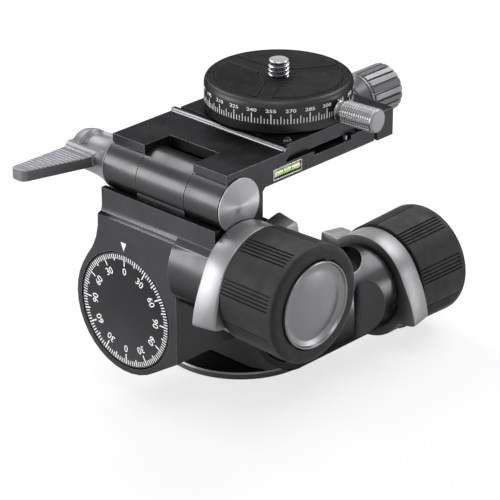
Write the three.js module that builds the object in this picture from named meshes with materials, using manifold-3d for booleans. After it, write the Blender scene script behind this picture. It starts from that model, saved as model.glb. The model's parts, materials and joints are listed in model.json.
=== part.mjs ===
// Geared tripod head: two worm drives (pan and tilt), a flip hinge, a dovetail clamp
// and a panorama disc with a camera screw. Millimetres, +Z up, origin at the middle of
// the base face. X runs along the flip hinge, Y along the clamp channel.

import * as THREE from 'three';
import { mergeVertices } from 'three/addons/utils/BufferGeometryUtils.js';
import Module from 'manifold-3d';

const wasm = await Module();
wasm.setup();

// Clearances that every piece shares
const gap = 0.3; // between two neighbouring pieces
const overrun = 1; // how far a cut runs past the face that it opens

// Facets of a round piece
const fineSides = 40;
const roundSides = 24;
const plainSides = 16;
const smallSides = 10;
const screwSides = 6;

// Main axes of the head
const tiltAxisHeight = 29.5;
const tiltWormRise = 20; // worm above the tilt axle: the centre distance of that gear pair
const flipRise = 21.5; // flip hinge above the tilt worm
const blockMiddle = -38.4; // y of the tilt worm, the tilt wheel and the flip hinge
const panWormDistance = 28.5; // worm beside the pan axis: the centre distance of that gear pair
const panWormHeight = 20.75;
const tiltWormHeight = tiltAxisHeight + tiltWormRise;
const flipHeight = tiltWormHeight + flipRise;

// Gear teeth, alike on both pairs
const panWheelRadius = 19.5; // pitch circle of the larger wheel
const gear = {
  addendum: 0.8,
  dedendum: 1.1,
  tipWidth: 0.75,
  rootWidth: 1.7,
  threadTurns: 4,
  threadSteps: 10,
};
const tiltTeeth = 30;
const panTeeth = 39;
const gearPitch = (2 * Math.PI * panWheelRadius) / panTeeth;
const tiltWheelRadius = (tiltTeeth * gearPitch) / (2 * Math.PI);
const tiltWormRadius = tiltWormRise - tiltWheelRadius;
const panWormRadius = panWormDistance - panWheelRadius;

// Base
const base = { height: 2.5, chamfer: 0.5 };
const insert = { radius: 7.5, height: 9.5, bore: 4.2, chamfer: 0.6 };
const spindle = { flangeRadius: 12, flangeHeight: 2.8, radius: 9, top: 28.6 };
const baseScrew = { circle: 9.9, radius: 0.9, headRadius: 1.5, headHeight: 1, turns: [90, 270], length: 4 };
const panWheel = { bottom: 17.5, top: 22.5 };
const spindleNut = { radius: 12.5, bottom: 27.2, top: 29.6 };

// Pan housing: the skirt below the wheel, the housing above it
const shellWall = 5.5; // from the pan wheel's pitch circle to the outside
const shellRadius = panWheelRadius + shellWall;
const skirt = { bottom: 2.8, top: 15.5, frontY: -13.5, corner: 8, side: 2.8, bore: 12.5 };
const skirtScrew = { inset: 1.9, radius: 0.8, bottom: 7, top: 20, turns: [100, 190] };
const housing = {
  top: 31,
  frontRadius: 23.2,
  frontTop: 27.2,
  cavityTop: 22.9,
  topChamfer: 1.2,
  bossRadius: 9.5,
  bossFront: -23.5,
  bossBack: -13.9,
  axleEnd: -14.5,
};
const panBush = { radius: 11, bottom: 23.2, top: 26.9 };
const topCap = { radius: 12.9, thickness: 1.4 };
const barrel = { radius: 14.1, bevel: 0.6, spigotRadius: 9, spigotLength: 7.2 };
const panBarrel = { back: -14, front: 25.6, endCapRadius: 11, endCapDepth: 3 };
const sidePocket = { depth: 3.9, radius: 8.6, middleY: 12.4 };
const upperPocket = { radius: 10.2, x: 26.1, y: 11.7, rise: 0.7 }; // its floor stands this far above the housing's top

// Worm shafts, bearings and knobs, measured along the shaft from the barrel's end face
const shaft = { radius: 3, journal: 2.2 };
const bearing = { radius: 6.6, start: 1.2, length: 5 };
const ring = {
  thickness: 8.2,
  taper: 1.3, // the wings are this much lower at the knob's side
  bore: 9.3,
  rootRadius: 16.7,
  tipRadius: 22.3,
  tipAngles: [41, 205],
  riseTurn: 45, // the wing grows from the round over this angle
  scallopTurn: 11,
  growth: 1.75,
  step: 5,
};
const tiltRingTurn = 0;
const panRingTurn = -5.5;
const grip = {
  start: 8.5,
  end: 29.3,
  radius: 17.8,
  backRadius: 17.3,
  frontRadius: 16,
  frontRound: 1.8,
  lipRadius: 13.5,
  lipThickness: 1.5,
};
const hub = { radius: 15, start: 8.8, end: 27.3, collar: 6, collarLength: 0.3 };
const cap = { radius: 13.1, rim: 30.1, rimWidth: 1.6, dish: 0.4, rise: 0.5, edge: 0.3 };

// Tilt block
const block = {
  front: -49.87,
  back: -24.3,
  lobeRadius: 20.5,
  leftX: -10.8,
  rightX: 35.7,
  wallX: 21.5,
  cornerZ: 18.9,
  tangentX: 12.2,
  tangentZ: 12.4,
  stepBottom: 57.9,
  stepTop: 60,
  stripY: -48.07,
  top: 65.9,
  waist: [
    [-10.9, 54],
    [-11.8, 50],
    [-13.5, 46.3],
    [-15.7, 43.2],
  ],
  lobeStartX: -17.9,
  lobeStartZ: 39.7,
};
const dial = { radius: 18.4, thickness: 1.2, inset: 0.1, recess: 1.6 };
const axle = { radius: 5, bushRadius: 7.4, bushLength: 3 };
const tiltWheel = { width: 5, cavityRadius: 16.2, cavityWidth: 8 };
const backCover = { radius: 17.6, thickness: 4.2 };
const tiltBore = { left: -8.4, journalEnd: -10 };

// Flip hinge
const hinge = {
  radius: 8.7,
  middleX: 12.45,
  knuckleHalf: 9.6,
  pinRadius: 3.4,
  channel: 9.3,
  pedestalFront: -46.5,
  pedestalBack: -30.5,
};
const endCap = { radius: 8.4, thickness: 0.45, cone: 0.15 };
const lever = {
  hubInnerRadius: 8.6,
  hubCollar: 2.6,
  hubWaist: 7,
  hubWaistX: 7,
  hubOuterRadius: 5.6,
  hubLength: 18,
  hubRound: 0.8,
  rootInnerX: -17.5,
  rootY: -45.2,
  tipInnerX: -23.4,
  tipOuterX: -29,
  tipY: -67.3,
  tipCut: 1.3,
  top: 2,
  bottom: -1.5,
  screwRadius: 1.8,
  screwHead: 3.6,
  screwHeadDepth: 2.4,
  screwEnd: -3,
};

// Platform and clamp
const platform = {
  left: -10.8,
  right: 35.7,
  front: -43,
  top: 81.5,
  frontBottom: 79,
  underside: 73,
  knuckleBack: -28,
  knuckleBottom: 62.9,
  floor: 77.9,
  lipFront: -18.8,
  lipBack: -16.5,
  lipTop: 82.5,
  lipRound: 0.6,
  end: 20.7,
  windowBack: -32.4,
  slotFront: -6.1,
  slotBack: 10.2,
  ribHalf: 4.5,
  ribFront: 9,
  ribBottom: 71.4,
  slotFloor: 76.6,
};
const dovetail = {
  bottomFront: -17.8,
  bottomBack: 20.6,
  bevel: 1.6,
  footHeight: 0.5,
  top: 82.5,
  left: -9.1,
  right: 34,
};
const jaw = { inner: 22.2, outer: 29.3, bottom: 72.6, top: 81.4, topFront: 25.8, tipHeight: 79.9 };
const level = { middleY: -17.5, length: 12.4, height: 3.6, depth: 5, middleZ: 75.45, wall: 0.4, vial: 1.15 };
const stopPin = { x: 34.4, radius: 0.7, top: 78, bottom: 74.5, places: [8.8, 12.6] };
const guidePin = { radius: 1.5, offset: 15, start: 13, end: 28 };
const clampAxisHeight = 75.2;
const clampScrew = { radius: 1.9, start: 11.5 };
const clampKnob = {
  neckRadius: 4.4,
  neckEnd: 35.5,
  flareEnd: 39.6,
  ribStart: 39.9,
  end: 52.8,
  radius: 7.7,
  ribDepth: 0.6,
  ribs: 16,
  rib_shares: [0.6, 0.7, 0.9], // of one rib: land end, groove start and end
  chamfer: 0.8,
};

// Panorama drum
const drum = {
  x: 12.45,
  y: 3.6,
  radius: 22.4,
  bottom: 82.5,
  height: 10.5,
  chamfer: 0.8,
  cavityRadius: 18.5,
  floorThickness: 2.9,
  ledgeRadius: 21.1,
  ledgeDepth: 2.4,
};
const drumTop = drum.bottom + drum.height;
const drumFloor = drum.bottom + drum.floorThickness;
const drumLedge = drumTop - drum.ledgeDepth;
const disc = { hubRadius: 17.2, plateThickness: 2.1, pocket: 0.8, stemRadius: 7.4, stemRise: 1.3 };
const discPlateBottom = drumTop - disc.plateThickness;
const stemBottom = drum.bottom + disc.stemRise;
const pad = { inner: 6.6, outer: 19.2, spacing: 5, turns: [240, 0, 120], thickness: 0.95 };
const padSpread = 360 / pad.turns.length;
const cameraScrew = { radius: 3.175, rise: 4.9, headRadius: 5.4, headHeight: 2.2, headDepth: 3.4, chamfer: 0.5 };
const screwHeadTop = drumTop - cameraScrew.headDepth;
const screwHeadBottom = screwHeadTop - cameraScrew.headHeight;
const drumScrew = { circle: 15.3, radius: 1.1, headRadius: 1.9, headHeight: 1.2, length: 5.4, turns: [0, 180] };
const retaining = { inner: 5.9, outer: 9.9, thickness: 0.9 };
const lockKnob = {
  rise: 4.5, // above the drum's bottom
  turn: 5.5,
  screwRadius: 1.6,
  neckStart: 22.6,
  neckRadius: 2.7,
  neckEnd: 24.6,
  radius: 3.65,
  end: 36.6,
  chamfer: 0.5,
};
const plateStop = { x: 32, y: -13.7, radius: 1.5, rise: 0.9, depth: 2.5 };

// Finishes
const finishes = {
  black: { color: 0x3a3a3c, roughness: 0.42, metalness: 0.55 },
  satin: { color: 0x8f9095, roughness: 0.35, metalness: 0.9 },
  bright: { color: 0xb9babd, roughness: 0.25, metalness: 1 },
  steel: { color: 0x9a9b9e, roughness: 0.3, metalness: 1 },
  bronze: { color: 0x9c7a3c, roughness: 0.4, metalness: 1 },
  rubber: { color: 0x303133, roughness: 0.85, metalness: 0 },
  vial: { color: 0xb8e070, roughness: 0.1, metalness: 0 },
};

const radians = THREE.MathUtils.degToRad;
const head = new THREE.Group();

// Building blocks

function turnAlong(geometry, axis) {
  const x = new THREE.Vector3(1, 0, 0);
  const y = new THREE.Vector3(0, 1, 0);
  const z = new THREE.Vector3(0, 0, 1);
  const basis = new THREE.Matrix4();
  if (axis === 'x') basis.makeBasis(y, z, x);
  if (axis === 'y') basis.makeBasis(z, x, y);
  return geometry.applyMatrix4(basis);
}

function signedVolume(position, triangles) {
  const [a, b, c] = [new THREE.Vector3(), new THREE.Vector3(), new THREE.Vector3()];
  let total = 0;
  for (let i = 0; i < triangles.length; i += 3) {
    a.fromBufferAttribute(position, triangles[i]);
    b.fromBufferAttribute(position, triangles[i + 1]);
    c.fromBufferAttribute(position, triangles[i + 2]);
    total += a.dot(b.cross(c));
  }
  return total;
}

// A closed three.js geometry as a solid, with its faces turned outward
function solidOf(geometry) {
  geometry.deleteAttribute('normal');
  geometry.deleteAttribute('uv');
  const merged = mergeVertices(geometry);
  const triangles = [];
  const index = merged.index.array;
  for (let i = 0; i < index.length; i += 3) {
    const [a, b, c] = [index[i], index[i + 1], index[i + 2]];
    if (a !== b && b !== c && a !== c) triangles.push(a, b, c);
  }
  if (signedVolume(merged.attributes.position, triangles) < 0) triangles.reverse();
  return new wasm.Manifold(new wasm.Mesh({
    numProp: 3,
    vertProperties: Float32Array.from(merged.attributes.position.array),
    triVerts: Uint32Array.from(triangles),
  }));
}

// A cylinder along an axis; centre gives the other two coordinates
function bar(axis, radius, from, to, centre = {}, count = roundSides) {
  const geometry = new THREE.CylinderGeometry(radius, radius, to - from, count);
  geometry.rotateX(Math.PI / 2);
  geometry.translate(0, 0, (from + to) / 2);
  turnAlong(geometry, axis);
  geometry.translate(centre.x ?? 0, centre.y ?? 0, centre.z ?? 0);
  return solidOf(geometry);
}

// A turned piece: profile points are [radius, place along the axis]
function turned(axis, profile, centre = {}, count = roundSides) {
  const points = profile.map(([radius, station]) => new THREE.Vector2(radius, station));
  const onAxis = profile[0][0] === 0 && profile[profile.length - 1][0] === 0;
  if (!onAxis) points.push(points[0].clone());
  const geometry = new THREE.LatheGeometry(points, count);
  geometry.rotateX(Math.PI / 2);
  turnAlong(geometry, axis);
  geometry.translate(centre.x ?? 0, centre.y ?? 0, centre.z ?? 0);
  return solidOf(geometry);
}

function tube(axis, inner, outer, from, to, centre = {}, count = roundSides) {
  return turned(axis, [[inner, from], [outer, from], [outer, to], [inner, to]], centre, count);
}

// An outline drawn across an axis: [x, y] along z, [x, z] along y, [y, z] along x
function plate(axis, outline, from, to) {
  const points = outline.map(([u, v]) => (axis === 'y' ? new THREE.Vector2(v, u) : new THREE.Vector2(u, v)));
  const shape = new THREE.Shape(points);
  const geometry = new THREE.ExtrudeGeometry(shape, { depth: to - from, bevelEnabled: false });
  geometry.translate(0, 0, from);
  return solidOf(turnAlong(geometry, axis));
}

function box(x, y, z) {
  const geometry = new THREE.BoxGeometry(x[1] - x[0], y[1] - y[0], z[1] - z[0]);
  geometry.translate((x[0] + x[1]) / 2, (y[0] + y[1]) / 2, (z[0] + z[1]) / 2);
  return solidOf(geometry);
}

function arc(centreU, centreV, radius, fromTurn, toTurn, steps) {
  const points = [];
  for (let i = 0; i <= steps; i += 1) {
    const turn = radians(fromTurn + ((toTurn - fromTurn) * i) / steps);
    points.push([centreU + radius * Math.cos(turn), centreV + radius * Math.sin(turn)]);
  }
  return points;
}

function joined(solids) {
  return solids.reduce((whole, next) => whole.add(next));
}

// Places on a circle, for screws
function circlePlaces(turns, radius, centre = { x: 0, y: 0 }) {
  return turns.map((turn) => ({
    x: centre.x + radius * Math.cos(radians(turn)),
    y: centre.y + radius * Math.sin(radians(turn)),
  }));
}

// The same piece at several places, numbered from one
function addPieces(name, places, make, finish) {
  places.forEach((place, i) => addPiece(`${name}_${i + 1}`, make(place), finish));
}

function addPiece(name, solid, finish, parent = head) {
  const { vertProperties, triVerts } = solid.getMesh();
  const geometry = new THREE.BufferGeometry();
  geometry.setAttribute('position', new THREE.BufferAttribute(Float32Array.from(vertProperties), 3));
  geometry.setIndex(new THREE.BufferAttribute(Uint32Array.from(triVerts), 1));
  geometry.computeVertexNormals();
  const mesh = new THREE.Mesh(geometry, new THREE.MeshStandardMaterial(finishes[finish]));
  mesh.name = name;
  parent.add(mesh);
  return mesh;
}

// A worm wheel: straight teeth round a disc, the first gap at firstTurn
function wheelOutline(teeth, pitchRadius, firstTurn) {
  const tip = pitchRadius + gear.addendum;
  const root = pitchRadius - gear.dedendum;
  const points = [];
  for (let i = 0; i < teeth; i += 1) {
    const middle = radians(firstTurn) + ((i + 0.5) * 2 * Math.PI) / teeth;
    const corners = [
      [root, -gear.rootWidth / root],
      [tip, -gear.tipWidth / tip],
      [tip, gear.tipWidth / tip],
      [root, gear.rootWidth / root],
    ];
    for (const [radius, width] of corners) {
      const turn = middle + width / 2;
      points.push([radius * Math.cos(turn), radius * Math.sin(turn)]);
    }
  }
  return points;
}

function solidFrom(positions, triangles) {
  const geometry = new THREE.BufferGeometry();
  geometry.setAttribute('position', new THREE.BufferAttribute(Float32Array.from(positions), 3));
  geometry.setIndex(triangles);
  return solidOf(geometry.toNonIndexed());
}

// A right-hand thread round the x axis. A crest lies at x = 0 on the side at facingTurn.
function threadSolid(pitchRadius, facingTurn) {
  const crest = pitchRadius + gear.addendum;
  const root = pitchRadius - gear.dedendum;
  const section = [
    [root, -gear.rootWidth / 2],
    [crest, -gear.tipWidth / 2],
    [crest, gear.tipWidth / 2],
    [root, gear.rootWidth / 2],
  ];
  const steps = gear.threadSteps;
  const rows = section.length * gear.threadTurns;
  const start = (-gear.threadTurns * gearPitch) / 2;
  const positions = [];
  const vertexAt = (row, step) => {
    if (step === steps) return vertexAt(row + section.length, 0);
    return row * steps + step;
  };
  for (let row = 0; row <= rows + section.length; row += 1) {
    const [radius, offset] = section[row % section.length];
    const lead = Math.floor(row / section.length) * gearPitch;
    for (let step = 0; step < steps; step += 1) {
      const turn = (step / steps) * 2 * Math.PI;
      const x = start + lead + offset + gearPitch * (step / steps);
      const angle = turn + radians(facingTurn);
      positions.push(x, radius * Math.cos(angle), radius * Math.sin(angle));
    }
  }
  const firstMiddle = positions.length / 3;
  positions.push(start + gearPitch / 2, 0, 0);
  const lastMiddle = firstMiddle + 1;
  positions.push(start + (gear.threadTurns + 0.5) * gearPitch, 0, 0);
  const triangles = [];
  for (let row = 0; row < rows; row += 1) {
    for (let step = 0; step < steps; step += 1) {
      const [a, b] = [vertexAt(row, step), vertexAt(row + 1, step)];
      const [c, d] = [vertexAt(row + 1, step + 1), vertexAt(row, step + 1)];
      triangles.push(a, b, c, a, c, d);
    }
  }
  const closeEnd = (row, middle, flip) => {
    const loop = [];
    for (let step = 0; step < steps; step += 1) loop.push(vertexAt(row, step));
    for (let i = section.length; i > 0; i -= 1) loop.push(vertexAt(row + i, 0));
    for (let i = 0; i < loop.length; i += 1) {
      const next = loop[(i + 1) % loop.length];
      if (flip) triangles.push(middle, next, loop[i]);
      else triangles.push(middle, loop[i], next);
    }
  };
  closeEnd(0, firstMiddle, false);
  closeEnd(rows, lastMiddle, true);
  return solidFrom(positions, triangles);
}

// Base: disc, threaded insert, spindle, worm wheel and the nut that holds the housing down

function buildBase() {
  const places = circlePlaces(baseScrew.turns, baseScrew.circle);
  addPiece('base_disc', turned('z', [
    [insert.radius + gap, 0],
    [shellRadius - base.chamfer, 0],
    [shellRadius, base.chamfer],
    [shellRadius, base.height - base.chamfer],
    [shellRadius - base.chamfer, base.height],
    [insert.radius + gap, base.height],
  ], {}, fineSides).subtract(joined(places.map((place) => (
    bar('z', baseScrew.headRadius + gap, -overrun, baseScrew.headHeight + gap, place, screwSides)
      .add(bar('z', baseScrew.radius + gap, 0, base.height + overrun, place, screwSides))
  )))), 'black');
  addPiece('tripod_socket_insert', turned('z', [
    [insert.bore + insert.chamfer, 0],
    [insert.radius, 0],
    [insert.radius, insert.height],
    [insert.bore, insert.height],
    [insert.bore, insert.chamfer],
  ], {}, plainSides), 'bright');
  const flangeBottom = base.height + gap;
  const flangeTop = flangeBottom + spindle.flangeHeight;
  addPiece('pan_spindle', turned('z', [
    [0, insert.height + gap],
    [insert.radius + gap, insert.height + gap],
    [insert.radius + gap, flangeBottom],
    [spindle.flangeRadius, flangeBottom],
    [spindle.flangeRadius, flangeTop],
    [spindle.radius, flangeTop],
    [spindle.radius, spindle.top],
    [0, spindle.top],
  ]).subtract(joined(places.map((place) => (
    bar('z', baseScrew.radius + gap, 0, baseScrew.length + gap, place, screwSides)
  )))), 'steel');
  addPieces('base_screw', places, (place) => (
    bar('z', baseScrew.headRadius, 0, baseScrew.headHeight, place, screwSides)
      .add(bar('z', baseScrew.radius, 0, baseScrew.length, place, screwSides))
  ), 'steel');
  const wheel = plate('z', wheelOutline(panTeeth, panWheelRadius, 0), panWheel.bottom, panWheel.top);
  const wheelBore = bar('z', spindle.radius + gap, panWheel.bottom - overrun, panWheel.top + overrun);
  addPiece('pan_wheel', wheel.subtract(wheelBore), 'bronze');
  addPiece('spindle_nut', tube('z', spindle.radius + gap, spindleNut.radius, spindleNut.bottom, spindleNut.top), 'steel');
}

// Pan housing

function skirtOutline(radius) {
  const sideTurn = THREE.MathUtils.radToDeg(Math.acos((radius - skirt.side) / radius));
  const frontTurn = THREE.MathUtils.radToDeg(Math.asin(-skirt.frontY / radius));
  return [...arc(0, 0, radius, -sideTurn, 180 + frontTurn, fineSides - screwSides), [radius - skirt.corner, skirt.frontY]];
}

const panBarrelCentre = { x: panWormDistance, z: panWormHeight };

function pocketCuts() {
  const reach = barrel.radius + sidePocket.radius - sidePocket.depth;
  const side = bar('z', sidePocket.radius, 0, housing.top + barrel.radius, {
    x: panWormDistance + reach,
    y: sidePocket.middleY,
  }, fineSides);
  const floor = housing.top + upperPocket.rise;
  const upper = bar('z', upperPocket.radius, floor, housing.top + barrel.radius, upperPocket, fineSides);
  return side.add(upper);
}

function buildPanHousing() {
  const spigotEnd = panBarrel.front + barrel.spigotLength;
  const panCavityEnd = ((gear.threadTurns + 1) * gearPitch + gear.rootWidth) / 2 + gap;
  const barrelProfile = [
    [0, panBarrel.back],
    [barrel.radius - barrel.bevel, panBarrel.back],
    [barrel.radius, panBarrel.back + barrel.bevel],
    [barrel.radius, panBarrel.front - barrel.bevel],
    [barrel.radius - barrel.bevel, panBarrel.front],
    [barrel.spigotRadius, panBarrel.front],
    [barrel.spigotRadius, spigotEnd],
    [0, spigotEnd],
  ];
  const barrelSolid = turned('y', barrelProfile, panBarrelCentre, fineSides);
  const bottom = skirt.top + gap;

  const screwPlaces = circlePlaces(skirtScrew.turns, shellRadius - skirtScrew.inset);
  const screwCuts = joined(screwPlaces.map((place) => (
    bar('z', skirtScrew.radius + gap, skirt.bottom - overrun, skirtScrew.top + gap, place, screwSides)
  )));
  const skirtBody = plate('z', skirtOutline(shellRadius), skirt.bottom, skirt.top)
    .subtract(bar('z', skirt.bore, 0, skirt.top + overrun))
    .subtract(bar('y', barrel.radius + gap, panBarrel.back - gap, shellRadius + overrun, panBarrelCentre, fineSides))
    .subtract(screwCuts);
  addPiece('pan_skirt', skirtBody, 'black');

  const cavityRadius = panWheelRadius + gear.addendum + 2 * gap;
  const axleCentre = { z: tiltAxisHeight };
  const nutPocket = spindleNut.radius + gap;
  const rounded = turned('z', [
    [0, bottom],
    [shellRadius + overrun, bottom],
    [shellRadius + overrun, housing.top - housing.topChamfer - overrun],
    [shellRadius - housing.topChamfer, housing.top],
    [0, housing.top],
  ], {}, fineSides);
  let body = plate('z', skirtOutline(shellRadius), bottom, housing.top)
    .intersect(rounded)
    .add(bar('z', housing.frontRadius, bottom, housing.frontTop, {}, fineSides))
    .add(bar('y', housing.bossRadius, housing.bossFront, housing.bossBack, axleCentre))
    .add(barrelSolid);
  body = body
    .subtract(bar('z', cavityRadius, bottom - overrun, housing.cavityTop, {}, fineSides))
    .subtract(bar('z', panBush.radius + gap, bottom, spindleNut.bottom))
    .subtract(bar('z', nutPocket, spindleNut.bottom - gap, housing.top + overrun))
    .subtract(bar('z', topCap.radius + gap, housing.top - topCap.thickness, housing.top + overrun))
    .subtract(bar('y', axle.radius + gap, housing.bossFront - overrun, housing.axleEnd + gap, axleCentre, plainSides))
    .subtract(bar('y', panWormRadius + gear.addendum + gap, panBarrel.back, panCavityEnd,
      panBarrelCentre))
    .subtract(bar('y', shaft.radius + gap, 0, spigotEnd + overrun, panBarrelCentre, smallSides))
    .subtract(bar('y', bearing.radius + gap, panBarrel.front + bearing.start, spigotEnd + overrun, panBarrelCentre))
    .subtract(bar('y', panBarrel.endCapRadius + gap, panBarrel.back - overrun,
      panBarrel.back + panBarrel.endCapDepth + gap, panBarrelCentre))
    .subtract(screwCuts)
    .subtract(pocketCuts());
  addPiece('pan_housing', body, 'black');
  addPieces('skirt_screw', screwPlaces, (place) => (
    bar('z', skirtScrew.radius, skirtScrew.bottom, skirtScrew.top, place, screwSides)
  ), 'steel');
  addPiece('pan_bush', tube('z', spindle.radius + gap, panBush.radius, panBush.bottom, panBush.top), 'bronze');
  const capBottom = housing.top - topCap.thickness + gap;
  addPiece('pan_top_cap', bar('z', topCap.radius, capBottom, housing.top, {}, plainSides), 'black');
  const endCapFront = panBarrel.back + panBarrel.endCapDepth;
  addPiece('pan_worm_end_cap', tube('y', shaft.journal + gap, panBarrel.endCapRadius, panBarrel.back, endCapFront,
    panBarrelCentre, plainSides), 'black');
}

// Tilt gear fixed to the pan housing: axle, worm wheel and the inlaid dial

const tiltCentre = { z: tiltAxisHeight };
const dialBack = block.front + dial.inset + dial.thickness;

function buildTiltGear() {
  addPiece('tilt_axle', bar('y', axle.radius, dialBack, housing.axleEnd, tiltCentre, plainSides), 'steel');
  const from = blockMiddle - tiltWheel.width / 2;
  const to = blockMiddle + tiltWheel.width / 2;
  const outline = wheelOutline(tiltTeeth, tiltWheelRadius, 90).map(([x, z]) => [x, z + tiltAxisHeight]);
  const wheel = plate('y', outline, from, to);
  const bore = bar('y', axle.radius + gap, from - overrun, to + overrun, tiltCentre, plainSides);
  addPiece('tilt_wheel', wheel.subtract(bore), 'bronze');
  addPiece('tilt_dial', bar('y', dial.radius, block.front + dial.inset, dialBack, tiltCentre, fineSides), 'black');
}

// Tilt block: dial face, worm barrel, upper wall and the middle hinge knuckle

const tiltWormCentre = { y: blockMiddle, z: tiltWormHeight };
const flipCentre = { y: blockMiddle, z: flipHeight };
const tiltBarrelEnd = block.rightX + 2 * gap;

function blockFrontOutline() {
  const lobeStart = THREE.MathUtils.radToDeg(
    Math.atan2(block.lobeStartZ - tiltAxisHeight, block.lobeStartX),
  );
  const lobeEnd = 360 + THREE.MathUtils.radToDeg(
    Math.atan2(block.tangentZ - tiltAxisHeight, block.tangentX),
  );
  return [
    [block.leftX, block.top],
    [block.leftX, block.stepBottom],
    ...block.waist,
    ...arc(0, tiltAxisHeight, block.lobeRadius, lobeStart, lobeEnd, plainSides),
    [block.wallX, block.cornerZ],
    [block.wallX, block.stepBottom],
    [block.rightX, block.stepBottom],
    [block.rightX, block.top],
  ];
}

function blockSideOutline() {
  const drop = flipHeight - block.top;
  const frontTurn = 180 + THREE.MathUtils.radToDeg(Math.asin(drop / hinge.channel));
  const step = block.stripY - block.front;
  return [
    [block.front, -overrun],
    [block.front, block.stepBottom],
    [block.front + step / 4, block.stepBottom + step / 8],
    [block.stripY - step / 4, block.stepBottom + step / 3],
    [block.stripY, block.stepTop],
    [block.stripY, block.top],
    ...arc(blockMiddle, flipHeight, hinge.channel, frontTurn, 270, screwSides),
    [block.back, flipHeight - hinge.channel],
    [block.back, -overrun],
  ];
}

function buildTiltBlock() {
  const spigotEnd = tiltBarrelEnd + barrel.spigotLength;
  const knuckleLeft = hinge.middleX - hinge.knuckleHalf;
  const knuckleRight = hinge.middleX + hinge.knuckleHalf;
  const frontShape = plate('y', blockFrontOutline(), block.front - overrun, block.back + overrun);
  const sideShape = plate('x', blockSideOutline(), -shellRadius, block.rightX + overrun);
  const barrelSolid = turned('x', [
    [0, 0],
    [barrel.radius, 0],
    [barrel.radius, tiltBarrelEnd - barrel.bevel],
    [barrel.radius - barrel.bevel, tiltBarrelEnd],
    [barrel.spigotRadius, tiltBarrelEnd],
    [barrel.spigotRadius, spigotEnd],
    [0, spigotEnd],
  ], tiltWormCentre, fineSides).subtract(box(
    [-overrun, block.wallX - 2 * gap],
    [block.front - barrel.radius, block.back + barrel.radius],
    [0, flipHeight],
  )).subtract(bar('x', hinge.channel, 0, spigotEnd, flipCentre, fineSides));
  const wheelFront = blockMiddle - tiltWheel.cavityWidth / 2;
  const coverFront = block.back - backCover.thickness;
  const recessFloor = block.front + dial.recess;
  const wormBore = tiltWormRadius + gear.addendum + 2 * gap;
  const bushRadius = axle.bushRadius + gap;
  const pedestal = box([knuckleLeft, knuckleRight], [hinge.pedestalFront, hinge.pedestalBack],
    [flipHeight - hinge.channel - overrun, flipHeight - hinge.pinRadius]);
  let body = frontShape.intersect(sideShape)
    .add(barrelSolid)
    .add(bar('x', hinge.radius, knuckleLeft, knuckleRight, flipCentre, fineSides))
    .add(pedestal);
  body = body
    .subtract(bar('y', tiltWheel.cavityRadius, wheelFront, coverFront, tiltCentre))
    .subtract(bar('y', backCover.radius + gap, coverFront - gap, block.back + overrun, tiltCentre))
    .subtract(bar('y', bushRadius, recessFloor - overrun, wheelFront + overrun, tiltCentre, plainSides))
    .subtract(bar('y', dial.radius + gap, block.front - overrun, recessFloor, tiltCentre, fineSides))
    .subtract(bar('x', wormBore, tiltBore.left, spigotEnd + overrun, tiltWormCentre))
    .subtract(bar('x', shaft.journal + gap, tiltBore.journalEnd, tiltBore.left + overrun, tiltWormCentre, smallSides))
    .subtract(bar('x', bearing.radius + gap, tiltBarrelEnd + bearing.start, spigotEnd + overrun, tiltWormCentre))
    .subtract(bar('x', hinge.pinRadius + gap, knuckleLeft - overrun, knuckleRight + overrun, flipCentre, smallSides));
  addPiece('tilt_block', body, 'black');
  addPiece('tilt_back_cover', tube('y', bushRadius, backCover.radius, coverFront, block.back, tiltCentre), 'black');
  const bush = (from, to) => tube('y', axle.radius + gap, axle.bushRadius, from, to, tiltCentre, plainSides);
  addPiece('tilt_bush_front', bush(wheelFront - axle.bushLength, wheelFront), 'bronze');
  addPiece('tilt_bush_back', bush(coverFront, coverFront + axle.bushLength), 'bronze');
  const pinRight = platform.right + gap / 2;
  const pinBore = bar('x', lever.screwRadius + gap, platform.left - overrun, lever.screwEnd + gap, flipCentre,
    smallSides);
  addPiece('hinge_pin', bar('x', hinge.pinRadius, platform.left, pinRight, flipCentre, smallSides)
    .subtract(pinBore), 'steel');
  addPiece('hinge_end_cap', turned('x', [
    [0, pinRight],
    [endCap.radius, pinRight],
    [endCap.radius, pinRight + endCap.thickness - endCap.cone],
    [endCap.radius - endCap.cone, pinRight + endCap.thickness],
    [0, pinRight + endCap.thickness],
  ], flipCentre), 'satin');
}

// One worm drive, built along +x from the end face of its barrel: used for pan and for tilt

function ringRadius(angle, tipRadius) {
  const rise = tipRadius - ring.rootRadius;
  let radius = ring.rootRadius;
  ring.tipAngles.forEach((tip) => {
    const before = (tip - angle + 360) % 360;
    if (before <= ring.riseTurn) radius += rise * (1 - before / ring.riseTurn) ** ring.growth;
    const after = 360 - before;
    if (after < ring.scallopTurn) radius += rise * (1 - after / ring.scallopTurn);
  });
  return radius;
}

// The wings are taller on the barrel's side, so the two faces are joined row by row
function ringSolid() {
  const stations = new Set();
  for (let angle = 0; angle < 360; angle += ring.step) stations.add(angle);
  ring.tipAngles.forEach((tip) => stations.add(tip).add(tip + ring.scallopTurn));
  const angles = [...stations].sort((a, b) => a - b);
  const count = angles.length;
  const rows = [[gap, ring.tipRadius], [ring.thickness, ring.tipRadius - ring.taper]];
  const positions = [];
  rows.forEach(([x, tipRadius]) => {
    angles.forEach((angle) => {
      const radius = ringRadius(angle, tipRadius);
      positions.push(x, radius * Math.cos(radians(angle)), radius * Math.sin(radians(angle)));
    });
  });
  rows.forEach(([x]) => positions.push(x, 0, 0));
  const triangles = [];
  for (let i = 0; i < count; i += 1) {
    const next = (i + 1) % count;
    triangles.push(i, next, count + next, i, count + next, count + i);
    triangles.push(2 * count, next, i, 2 * count + 1, count + i, count + next);
  }
  return solidFrom(positions, triangles);
}

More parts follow.
